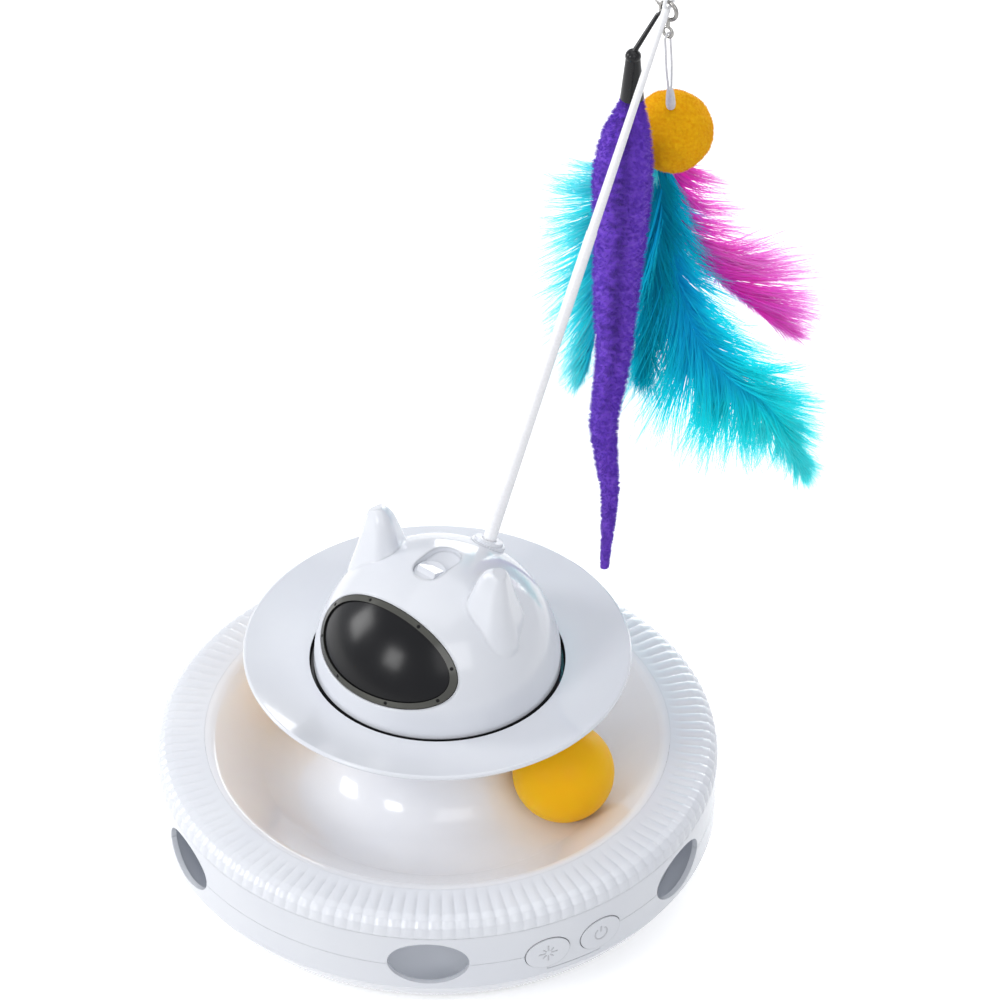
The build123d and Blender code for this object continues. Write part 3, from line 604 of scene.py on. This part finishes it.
worm_points = []
worm_faces = []
worm_shade_shares = []
for ring in range(worm_rings + 1):
    for side in range(worm_sides):
        angle = 2 * math.pi * side / worm_sides - math.pi
        worm_points.append(worm_surface(ring / worm_rings, angle)[0])
        worm_shade_shares.append(painted_parting_shade(ring / worm_rings, angle))
join_rings(worm_faces, 0, worm_rings + 1, worm_sides, flipped=True)
worm_faces.append(tuple(range(worm_sides)))
worm_faces.append(tuple(worm_rings * worm_sides + side for side in reversed(range(worm_sides))))
worm = mesh_piece("worm_body", worm_points, worm_faces, pile_purple, "lure")
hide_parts("worm")
keep_shares(worm, "parting", worm_shade_shares)

pile_points = []
pile_faces = []
pile_shade_shares = []
for number in range(tuft_count):
    share = random.random()**tuft_crowding
    angle = random.uniform(-math.pi, math.pi)
    root, way = worm_surface(share, angle)
    size = min(worm_section(share)[2] / pile_slim_radius, 1)
    sideways = lure_side * math.cos(angle) + lure_back * math.sin(angle)
    lean = way + sideways * tuft_side_lean * math.sin(angle) - up * random.uniform(0, tuft_droop)
    lean += gauss_way(tuft_stray)
    tuft_tip = root + lean.normalized() * pile_length * size * random.uniform(*tuft_lengths) * mm
    # Tufts near the parting take its painted shade, with a little random tone
    tuft_shade_share = painted_parting_shade(share, angle) * tuft_shade + random.uniform(*tuft_shade_spread)
    tuft_shade_share = min(max(tuft_shade_share, 0), 1)
    for fibre in range(tuft_fibres):
        shift = sideways * random.gauss(0, tuft_spread) + up * random.gauss(0, tuft_spread)
        start = root + shift * size * mm - way * tuft_root_depth * mm
        jitter = gauss_way(1) * tuft_gather * size * mm
        run = tuft_tip + jitter - start
        add_fibre(pile_points, pile_faces, start, run.normalized(), run.length, pile_width)
        pile_shade_shares += [tuft_shade_share] * fibre_points
pile = mesh_piece("worm_pile", pile_points, pile_faces, pile_purple, "lure", soft=False)
keep_shares(pile, "parting", pile_shade_shares)

# Pom-pom: a felted ball, a little uneven, under short fuzz
pom_centre = lure_point(4.7, 26, 83)
pom_radius = 18.5
pom_rings = 130
pom_sides = 190
fuzz_count = 20000
fuzz_width = 0.09 * mm
fuzz_lean = 0.7
fuzz_root_depth = 0.2
fuzz_lengths = (0.5, 1.4)
felt_sink = 0.8
felt_broad = 0.75
felt_broad_scale = 2.1
felt_broad_start = Vector((5, 1, 2))
felt_fine = 0.22
felt_fine_scale = 11.0
felt_grain = 0.2
felt_grain_scale = 30.0


def pom_surface(way):
    """A point on the felted ball in a direction."""
    broad = noise.noise(way * felt_broad_scale + felt_broad_start)
    fine = noise.noise(way * felt_fine_scale)
    grain = noise.noise(way * felt_grain_scale)
    height = pom_radius - felt_sink + felt_broad * broad + felt_fine * fine + felt_grain * grain
    return pom_centre + way * height * mm


def ball_way(ring, side, rings, sides):
    """A direction on a ball by its ring and side."""
    tilt = math.pi * ring / rings
    turn = 2 * math.pi * side / sides
    return Vector((math.sin(tilt) * math.cos(turn), math.sin(tilt) * math.sin(turn), math.cos(tilt)))


pom_points = [pom_surface(up)]
for ring in range(1, pom_rings):
    for side in range(pom_sides):
        pom_points.append(pom_surface(ball_way(ring, side, pom_rings, pom_sides)))
pom_points.append(pom_surface(-up))
pom_faces = []
for side in range(pom_sides):
    after = (side + 1) % pom_sides
    pom_faces.append((0, 1 + side, 1 + after))
    foot = 1 + (pom_rings - 2) * pom_sides
    pom_faces.append((len(pom_points) - 1, foot + after, foot + side))
    for ring in range(pom_rings - 2):
        here = 1 + ring * pom_sides
        pom_faces.append((here + side, here + pom_sides + side, here + pom_sides + after, here + after))
pom = mesh_piece("pom_felt", pom_points, pom_faces, felt_yellow, "pom")
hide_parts("pom_pom")

fuzz_points = []
fuzz_faces = []
for number in range(fuzz_count):
    way = gauss_way(1).normalized()
    lean = way + gauss_way(fuzz_lean)
    add_fibre(fuzz_points, fuzz_faces, pom_surface(way) - way * fuzz_root_depth * mm, lean.normalized(),
              random.uniform(*fuzz_lengths) * mm, fuzz_width)
mesh_piece("pom_fuzz", fuzz_points, fuzz_faces, felt_yellow, "pom", soft=False)

# Feathers: a curved shaft with two rows of soft barbs that carry finer down
feather_patch = 90
feather_patch_most = 0.5
feather_shade = (0.86, 0.90, 0.93)
feather_grain = 900
feather_rough = (0.5, 0.7)
feather_shine = 0.1
feather_through = 0.6


def feather_finish(name, near_root, middle, near_tip):
    """Barbs that let light through, whose colour runs out along them by a share kept on their points."""
    made, nodes, links, shader = new_material(name)
    share = nodes.new("ShaderNodeAttribute")
    share.attribute_name = "reach"
    lower = two_colours(nodes, links, share.outputs["Fac"], near_root, middle, 0.0, 0.5)
    upper = spread(nodes, links, share.outputs["Fac"], 0, 1, 0.5, 1.0)
    ramp = colour_mix(nodes, links, upper, near_tip)
    links.new(lower, ramp.inputs[first_colour])
    patch = noise_node(nodes, links, feather_patch)
    shade = colour_mix(nodes, links, spread(nodes, links, patch, 0, feather_patch_most), feather_shade)
    shade.blend_type = "MULTIPLY"
    links.new(ramp.outputs[mixed_colour], shade.inputs[first_colour])
    links.new(shade.outputs[mixed_colour], shader.inputs["Base Color"])
    grain = noise_node(nodes, links, feather_grain)
    links.new(spread(nodes, links, grain, *feather_rough), shader.inputs["Roughness"])
    shader.inputs["Specular IOR Level"].default_value = feather_shine
    through = nodes.new("ShaderNodeBsdfTranslucent")
    links.new(shade.outputs[mixed_colour], through.inputs["Color"])
    both = nodes.new("ShaderNodeMixShader")
    both.inputs["Fac"].default_value = feather_through
    links.new(shader.outputs["BSDF"], both.inputs[1])
    links.new(through.outputs["BSDF"], both.inputs[2])
    links.new(both.outputs["Shader"], nodes["Material Output"].inputs["Surface"])
    return made


turquoise = feather_finish("feather_turquoise", (0.0, 0.60, 0.94), (0.03, 0.98, 1.0), (0.38, 1.0, 1.0))
pale_turquoise = feather_finish("feather_pale", (0.0, 0.94, 1.0), (0.16, 0.98, 1.0), (0.65, 1.0, 1.0))
deep_blue = feather_finish("feather_blue", (0.0, 0.48, 0.70), (0.0, 0.62, 0.74), (0.0, 0.86, 0.92))
magenta = feather_finish("feather_magenta", (1.0, 0.05, 0.80), (1.0, 0.25, 0.86), (1.0, 0.70, 0.95))

barb_steps = 7
barbs_per_lock = 32
down_per_barb = 3
barb_half_width = 0.36 * mm
barb_thickness = 0.03 * mm
barb_width_shares = [0.7, 1, 1, 0.85, 0.62, 0.4, 0.2, 0.05]
barb_start_share = 0.4
down_width = 0.04 * mm
shaft_width = 0.4 * mm
shaft_steps = 40
shaft_sides = 5
shaft_taper = 0.8
shaft_hue = 0.25
shaft_look = 0.02
lock_spots = (0.2, 0.8)
lock_turn = 6
lock_lengths = (0.8, 1.12)
lock_curl_spread = 12
lock_drift_spread = 0.07
stray_share = 0.2
stray_lengths = (0.95, 1.25)
stray_pull = (0, 0.2)
stray_slim = 0.55
barb_spots = (-0.6, 1.6)
barb_least = 0.45
barb_more = 0.65
barb_falloff = 1.5
barb_turn = 5
barb_curl_spread = 12
barb_drift_spread = 0.1
barb_pull = (0.1, 0.65)
barb_pull_power = 1.4
barb_facing_spread = 0.45
down_spots = (0.35, 0.98)
down_tilt = 0.3
down_lengths = (3, 8)


def blend_list(values, share):
    """A value part of the way along a list."""
    spot = min(max(share, 0), 1) * (len(values) - 1)
    low = min(int(spot), len(values) - 2)
    return values[low] + (values[low + 1] - values[low]) * (spot - low)


def fall_way(degrees, drift):
    """A way in the feather's face, by degrees from straight down towards the right, with some depth."""
    angle = math.radians(degrees)
    return Vector((math.sin(angle), math.cos(angle), drift)).normalized()


def barb_line(line, share, degrees, length, curl, drift):
    """Points along one barb, which leaves near the shaft's own way and bends round to its fringe."""
    spot = along(line, share)
    ahead = along(line, min(share + shaft_look, 1)) - along(line, max(share - shaft_look, 0))
    start = math.degrees(math.atan2(ahead.x, ahead.y))
    found = [spot]
    for step in range(barb_steps):
        part = (step + 1) / barb_steps
        bend = min(barb_start_share + part, 1)
        heading = start + (degrees - start) * bend + curl * part**2
        spot = spot + fall_way(heading, drift) * (length / barb_steps)
        found.append(spot)
    return found


def add_down(points, faces, line):
    """Adds fine down along one barb, and tells how far out each fibre stands."""
    parts = []
    for fluff in range(down_per_barb):
        part = random.uniform(*down_spots)
        step = min(int(part * barb_steps), barb_steps - 1)
        base = line[step].lerp(line[step + 1], part * barb_steps - step)
        run = (line[step + 1] - line[step]).normalized()
        first, second = any_across(run)
        tilt = first * random.gauss(0, down_tilt) + second * random.gauss(0, down_tilt)
        add_fibre(points, faces, base, (run + tilt).normalized(), random.uniform(*down_lengths) * mm,
                  down_width)
        parts.append(part)
    return parts


def feather(name, node, finish, depth, shaft, sides, colour_run):
    """One feather: shaft points by sway and drop, each side's locks, lengths and ways, its run of colour."""
    line = [Vector((sway, drop, 0)) for sway, drop in shaft]
    points = []
    faces = []
    reaches = []

    def place(flat):
        return lure_point(flat.x, depth + flat.z, flat.y)

    def hue(share, part):
        return min(colour_run * share + (1 - colour_run) * part, 1)

    shaft_line = [place(along(line, step / shaft_steps)) for step in range(shaft_steps + 1)]
    shaft_widths = [shaft_width * (1 - shaft_taper * step / shaft_steps) for step in range(shaft_steps + 1)]
    add_strand(points, faces, shaft_line, shaft_widths, sides=shaft_sides)
    reaches += [shaft_hue] * len(points)
    for locks, lengths, ways in sides:
        for lock in range(locks):
            middle = (lock + random.uniform(*lock_spots)) / locks
            lock_way = blend_list(ways, middle) + random.gauss(0, lock_turn)
            lock_length = blend_list(lengths, middle) * random.uniform(*lock_lengths)
            lock_curl = random.gauss(0, lock_curl_spread)
            lock_drift = random.gauss(0, lock_drift_spread)
            guide = barb_line(line, middle, lock_way, lock_length, lock_curl, lock_drift)
            for number in range(barbs_per_lock):
                stray = random.random() < stray_share
                share = (lock + random.uniform(*barb_spots)) / locks
                share = min(max(share, 0), 1)
                reach = barb_least + barb_more * random.random()**barb_falloff
                length = blend_list(lengths, share) * reach
                if stray:
                    length = blend_list(lengths, share) * random.uniform(*stray_lengths)
                way = lock_way + random.gauss(0, barb_turn)
                own = barb_line(line, share, way, length, lock_curl + random.gauss(0, barb_curl_spread),
                                lock_drift + random.gauss(0, barb_drift_spread))
                pull = random.uniform(*(stray_pull if stray else barb_pull))
                barb = []
                for step, spot in enumerate(own):
                    barb.append(place(spot.lerp(guide[step], pull * (step / barb_steps)**barb_pull_power)))
                facing = lure_back + lure_side * random.gauss(0, barb_facing_spread)
                facing += up * random.gauss(0, barb_facing_spread)
                half_width = barb_half_width * (stray_slim if stray else 1)
                add_blade(points, faces, barb, [half_width * wide for wide in barb_width_shares], facing,
                          barb_thickness)
                for step in range(barb_steps + 1):
                    reaches += [hue(share, step / barb_steps)] * blade_sides
                for part in add_down(points, faces, barb):
                    reaches += [hue(share, part)] * fibre_points
    piece = mesh_piece(name, points, faces, finish, "pom", soft=False)
    keep_shares(piece, "reach", reaches)
    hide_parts(node)


feather("feather_left_vane", "feather_left", pale_turquoise, depth=19,
        shaft=[(-1, 97), (-12, 104), (-20, 121), (-23.5, 146), (-25, 173), (-28, 195), (-30, 205)],
        sides=[(40, [38, 42, 42, 48, 42, 26, 10], [-104, -82, -58, -42, -34, -26, -18]),
               (14, [10, 14, 14, 12, 10, 8, 4], [20, 10, 5, 0, -5, -10, -12])], colour_run=0.0)
feather("feather_mid_vane", "feather_mid", deep_blue, depth=22.5,
        shaft=[(0, 97), (-0.5, 130), (-1.5, 165), (-4, 190), (-5, 200)],
        sides=[(22, [16, 26, 30, 28, 18], [-30, -24, -18, -12, -8]),
               (26, [18, 34, 42, 36, 20], [30, 22, 12, 4, 0])], colour_run=0.3)
feather("feather_right_vane", "feather_right", turquoise, depth=26,
        shaft=[(2, 97), (6.6, 146), (17.7, 191), (32.3, 215), (50, 230), (60, 246), (67, 264)],
        sides=[(64, [70, 92, 70, 54, 38, 26, 16], [-12, -17, -13, -9, 0, 14, 22]),
               (48, [18, 40, 48, 44, 30, 22, 16], [20, 48, 72, 80, 62, 42, 28])], colour_run=0.5)
feather("feather_magenta_vane", "feather_magenta", magenta, depth=29.5,
        shaft=[(5, 97), (8.5, 132), (17, 152), (30.3, 166.6), (45, 180.9), (57, 191)],
        sides=[(10, [6, 9, 10, 10, 8, 5], [10, 10, 22, 30, 40, 46]),
               (32, [26, 40, 56, 48, 28, 12], [66, 80, 96, 88, 66, 50])], colour_run=0.0)

# String: a doubled thread from the eye of the clasp down to its sleeve
string_top = eyelet - up * (clasp_radius + eye_drop + eye_radius)
string_way = (pom_centre - string_top).normalized()
string_across = string_way.cross(head_side).normalized()
string_route = [(-1.0, 38.0), (-1.5, 30.0), (-2.0, 18.0), (-1.7, 4.0), (-1.9, -0.9), (0.0, -2.6),
                (1.9, -0.9), (1.7, 4.0), (2.0, 18.0), (1.5, 30.0), (1.0, 38.0)]
strand_radius = 0.5 * mm
string_curve = bpy.data.curves.new("pom_thread", "CURVE")
string_curve.dimensions = "3D"
string_curve.bevel_depth = strand_radius
string_curve.bevel_resolution = 3
string_curve.resolution_u = 8
string_curve.use_fill_caps = True
string_spline = string_curve.splines.new("NURBS")
string_spline.points.add(len(string_route) - 1)
for point, (across, down) in zip(string_spline.points, string_route):
    point.co = (*(string_top + (string_across * across + string_way * down) * mm), 1)
string_spline.order_u = 3
string_spline.use_endpoint_u = True
thread = bpy.data.objects.new("pom_thread", string_curve)
scene.collection.objects.link(thread)
string_curve.materials.append(string_cotton)
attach(thread, "pom")
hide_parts("pom_string")

# Sleeve: wrapped thread that thickens towards the pom-pom
sleeve_start = 38.2
sleeve_profile = [(0.0, 0.9), (0.06, 1.35), (0.2, 1.6), (0.5, 1.95), (0.8, 2.1), (0.94, 1.9), (1.0, 1.2)]
sleeve_bury = 0.4
sleeve_length = (pom_centre - string_top).length / mm - pom_radius - sleeve_start + sleeve_bury
sleeve_rings = 60
sleeve_sides = 20
sleeve_wave = 0.07
sleeve_wave_step = 1.9
sleeve_points = []
sleeve_faces = []
sleeve_line = [Vector((share, radius, 0)) for share, radius in sleeve_profile]
sleeve_path = []
sleeve_widths = []
for ring in range(sleeve_rings + 1):
    share = ring / sleeve_rings
    spot, part = station_before(sleeve_line, share)
    radius = sleeve_line[spot].y + (sleeve_line[spot + 1].y - sleeve_line[spot].y) * part
    sleeve_path.append(string_top + string_way * (sleeve_start + sleeve_length * share) * mm)
    sleeve_widths.append((radius + sleeve_wave * math.sin(ring * sleeve_wave_step)) * mm)
add_strand(sleeve_points, sleeve_faces, sleeve_path, sleeve_widths, sides=sleeve_sides)
sleeve = mesh_piece("thread_sleeve", sleeve_points, sleeve_faces, string_cotton, "pom")
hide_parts("string_sleeve")

# Sign on the light button: eight rays
light_turn = 24.2
power_turn = 36.2
button_face = 122.8 * mm
button_z = 34 * mm
button_half_width = 10.1
button_half_height = 7.8
symbol_proud = 0.05 * mm
symbol_half_width = 0.34


def on_button(turn, across, height):
    """A point on a button's round face, by millimetres across and up from its middle."""
    angle = turn + math.degrees(across * mm / button_face)
    return outward(angle) * (button_face + symbol_proud) + up * (button_z + height * mm)


def add_stroke(points, faces, turn, line):
    """Adds a flat stroke with rounded ends along a line on a button's face."""
    start = len(points)
    for number, spot in enumerate(line):
        run = run_at(line, number)
        square = Vector((-run.y, run.x)) * symbol_half_width
        for side in (-1, 1):
            flat = spot + square * side
            points.append(on_button(turn, flat.x, flat.y))
    for number in range(len(line) - 1):
        here = start + 2 * number
        faces.append((here, here + 2, here + 3, here + 1))


def symbol_piece(name, turn, lines, body):
    """A button's sign as thin raised strokes."""
    points = []
    faces = []
    for line in lines:
        add_stroke(points, faces, turn, line)
    piece = mesh_piece(name, points, faces, symbol_grey, body)
    thick = piece.modifiers.new("thickness", "SOLIDIFY")
    thick.thickness = 2 * symbol_proud
    thick.offset = 0


ray_count = 8
ray_steps = 4
ray_start = 1.3
ray_ends = (4.2, 3.4)
rays = []
for number in range(ray_count):
    angle = 2 * math.pi * number / ray_count
    way = Vector((math.cos(angle), math.sin(angle)))
    ray_length = ray_ends[number % 2] - ray_start
    rays.append([way * (ray_start + ray_length * step / ray_steps) for step in range(ray_steps + 1)])
symbol_piece("light_symbol", light_turn, rays, "light_button")

# Painted shadow: fine dark rings put in the gaps round the buttons, where only shade falls
shadow_ring_inset = 0.15
shadow_ring_half_width = button_half_width + shadow_ring_inset
shadow_ring_half_height = button_half_height + shadow_ring_inset
shadow_ring_radius = 0.1 * mm
shadow_ring_face = 122.25 * mm
shadow_ring_steps = 96
shadow_ring_sides = 6


def shadow_ring_piece(name, turn):
    """A fine dark ring of painted shadow that fills the gap round a button."""
    across_way = outward(turn + 90)
    ring = []
    for step in range(shadow_ring_steps + 1):
        angle = 2 * math.pi * step / shadow_ring_steps
        across = shadow_ring_half_width * math.cos(angle) * mm
        reach = math.sqrt(shadow_ring_face**2 - across**2)
        ring.append(outward(turn) * reach + across_way * across
                    + up * (button_z + shadow_ring_half_height * math.sin(angle) * mm))
    points = []
    faces = []
    add_strand(points, faces, ring, [shadow_ring_radius] * len(ring), sides=shadow_ring_sides)
    mesh_piece(name, points, faces, gap_shadow_grey, "base")


shadow_ring_piece("light_gap_shadow", light_turn)
shadow_ring_piece("power_gap_shadow", power_turn)

# Sign on the power button: an open ring and a bar
power_radius = 3.1
power_start = 125
power_sweep = 290
power_steps = 32
power_bar_foot = 1.0
power_bar_length = 3.0
power_bar_steps = 4
power_arc = []
for step in range(power_steps + 1):
    angle = math.radians(power_start + power_sweep * step / power_steps)
    power_arc.append(Vector((math.cos(angle), math.sin(angle))) * power_radius)
power_bar = []
for step in range(power_bar_steps + 1):
    power_bar.append(Vector((0, power_bar_foot + power_bar_length * step / power_bar_steps)))
symbol_piece("power_symbol", power_turn, [power_arc, power_bar], "power_button")

# Visor pegs: small dark studs round the clear rim
visor_rise = math.radians(36)
peg_half_width = 35.1 * mm
peg_half_height = 19.35 * mm
peg_count = 8
peg_first = math.radians(22)
peg_sides = 14
peg_profile = [(0.8, -0.3), (0.8, 0.06), (0.55, 0.22)]
peg_crown = 0.28
dome_centre = up * dome_centre_z
visor_way = -head_back * math.cos(visor_rise) + up * math.sin(visor_rise)
visor_up = head_back * math.sin(visor_rise) + up * math.cos(visor_rise)
peg_points = []
peg_faces = []
for number in range(peg_count):
    angle = peg_first + 2 * math.pi * number / peg_count
    across = head_side * peg_half_width * math.cos(angle) + visor_up * peg_half_height * math.sin(angle)
    peg_way = (across + visor_way * math.sqrt(dome_radius**2 - across.length_squared)).normalized()
    start = len(peg_points)
    for radius, height in peg_profile:
        peg_place = dome_centre + peg_way * (dome_radius + height * mm)
        add_ring(peg_points, peg_place, peg_way, radius * mm, peg_sides)
    peg_points.append(dome_centre + peg_way * (dome_radius + peg_crown * mm))
    join_rings(peg_faces, start, len(peg_profile), peg_sides)
    crown = start + (len(peg_profile) - 1) * peg_sides
    for side in range(peg_sides):
        peg_faces.append((crown + side, crown + (side + 1) % peg_sides, len(peg_points) - 1))
    peg_faces.append(tuple(start + side for side in reversed(range(peg_sides))))
mesh_piece("visor_pegs", peg_points, peg_faces, peg_dark, "head")

# Thumb spur on the clasp's lever
spur_turn = math.radians(284)
spur_way = head_side * math.sin(spur_turn) + up * math.cos(spur_turn)
spur_foot = 4.4
spur_length = 4.2
spur_rise = 1.2
spur_root_width = 0.75
spur_taper = 0.5
spur_steps = 8
spur_sides = 10
spur_line = []
spur_widths = []
for step in range(spur_steps + 1):
    share = step / spur_steps
    spur_line.append(clasp_centre + spur_way * (spur_foot + spur_length * share) * mm
                     + up * spur_rise * mm * share**2)
    spur_widths.append((spur_root_width - spur_taper * share) * mm)
spur_points = []
spur_faces = []
add_strand(spur_points, spur_faces, spur_line, spur_widths, sides=spur_sides)
mesh_piece("clasp_spur", spur_points, spur_faces, nickel, "lever")

# Charging inlet: the flat tongue inside the shell
inlet_turn = 150
inlet_z = 27 * mm
tongue_half_width = 3.3 * mm
tongue_half_height = 0.35 * mm
tongue_back = 115.2 * mm
tongue_front = 120.4 * mm
tongue_edge_width = 0.15 * mm
square_corners = ((-1, -1), (1, -1), (1, 1), (-1, 1))
tongue_side = outward(inlet_turn + 90)
tongue_points = []
for reach in (tongue_back, tongue_front):
    for across, height in square_corners:
        tongue_points.append(outward(inlet_turn) * reach + tongue_side * tongue_half_width * across
                             + up * (inlet_z + tongue_half_height * height))
tongue_faces = [(3, 2, 1, 0), (4, 5, 6, 7), (0, 1, 5, 4), (1, 2, 6, 5), (2, 3, 7, 6), (3, 0, 4, 7)]
tongue = mesh_piece("inlet_tongue", tongue_points, tongue_faces, peg_dark, "base",
                    soft=False)
tongue_edge = tongue.modifiers.new("edge", "BEVEL")
tongue_edge.width = tongue_edge_width
tongue_edge.segments = 2

# Floor, light and camera
def seen_directly(nodes, links):
    """One for a ray from the camera, a mirror or glass, nought for scattered light."""
    path = nodes.new("ShaderNodeLightPath")
    found = path.outputs["Is Camera Ray"]
    for kind in ("Is Glossy Ray", "Is Transmission Ray"):
        either = nodes.new("ShaderNodeMath")
        either.operation = "MAXIMUM"
        links.new(found, either.inputs[0])
        links.new(path.outputs[kind], either.inputs[1])
        found = either.outputs["Value"]
    return found


floor_half = 6.0
floor_colour = (0.88, 0.88, 0.88, 1)
floor_rough = 0.9
floor_lift = 0.45
floor_corners = [(floor_half * across, floor_half * away, 0) for across, away in square_corners]
floor_mesh = bpy.data.meshes.new("studio_floor")
floor_mesh.from_pydata(floor_corners, [], [(0, 1, 2, 3)])
floor = bpy.data.objects.new("studio_floor", floor_mesh)
scene.collection.objects.link(floor)
floor_finish, floor_nodes, floor_links, floor_shader = new_material("studio_floor")
floor_shader.inputs["Base Color"].default_value = floor_colour
floor_shader.inputs["Roughness"].default_value = floor_rough
floor_seen = seen_directly(floor_nodes, floor_links)
floor_glow = spread(floor_nodes, floor_links, floor_seen, 0, floor_lift, 0, 1)
floor_shader.inputs["Emission Color"].default_value = (1, 1, 1, 1)
floor_links.new(floor_glow, floor_shader.inputs["Emission Strength"])
floor_mesh.materials.append(floor_finish)

scene.view_settings.view_transform = "Standard"
world_colour = (0.93, 0.95, 1.0, 1)
world_scattered = 0.45
world_shown = 1.0
world = bpy.data.worlds.new("studio")
scene.world = world
world.use_nodes = True
world_nodes = world.node_tree.nodes
world_links = world.node_tree.links
background = world_nodes["Background"]
background.inputs["Color"].default_value = world_colour
world_seen = seen_directly(world_nodes, world_links)
world_strength = spread(world_nodes, world_links, world_seen, world_scattered, world_shown, 0, 1)
world_links.new(world_strength, background.inputs["Strength"])


def area_lamp(name, place, target, size, power):
    """A white soft box aimed at a point, with its power in watts."""
    data = bpy.data.lights.new(name, "AREA")
    data.shape = "RECTANGLE"
    data.size = size[0]
    data.size_y = size[1]
    data.energy = power
    lamp = bpy.data.objects.new(name, data)
    lamp.location = place
    lamp.rotation_euler = (Vector(target) - Vector(place)).to_track_quat("-Z", "Y").to_euler()
    scene.collection.objects.link(lamp)


area_lamp("top_box", (0.1, 0.15, 1.6), (0, 0, 0.1), (1.3, 1.3), 5.5)
area_lamp("left_box", (-1.55, 0.27, 0.75), (0, 0, 0.12), (0.52, 0.64), 9)
area_lamp("front_box", (-1.13, -1.07, 0.92), (0, 0, 0.12), (0.48, 0.48), 6.6)
area_lamp("fill_box", (0.55, -1.5, 1.35), (0, 0, 0.12), (1.2, 0.9), 6.5)
area_lamp("back_box", (0.5, 1.35, 0.38), (0.12, 0.1, 0.25), (1.2, 0.5), 8)

camera_data = bpy.data.cameras.new("camera")
camera_data.lens = camera_lens
camera_data.sensor_width = camera_sensor
camera_data.clip_end = camera_sight
camera = bpy.data.objects.new("camera", camera_data)
scene.collection.objects.link(camera)
turned = Matrix.Rotation(camera_turn, 3, "Z")
camera_place = turned @ Vector((0, -math.cos(camera_rise), math.sin(camera_rise))) * camera_distance
camera_place.z += camera_target_z
level_share = math.cos(camera_pitch)
forward = turned @ Vector((math.sin(camera_yaw) * level_share, math.cos(camera_yaw) * level_share,
                           math.sin(camera_pitch)))
level = forward.cross(up).normalized()
upright = level.cross(forward)
right = level * math.cos(camera_roll) + upright * math.sin(camera_roll)
top = upright * math.cos(camera_roll) - level * math.sin(camera_roll)
camera_facing = Matrix((right, top, -forward)).transposed().to_4x4()
camera.matrix_world = Matrix.Translation(camera_place) @ camera_facing
scene.camera = camera
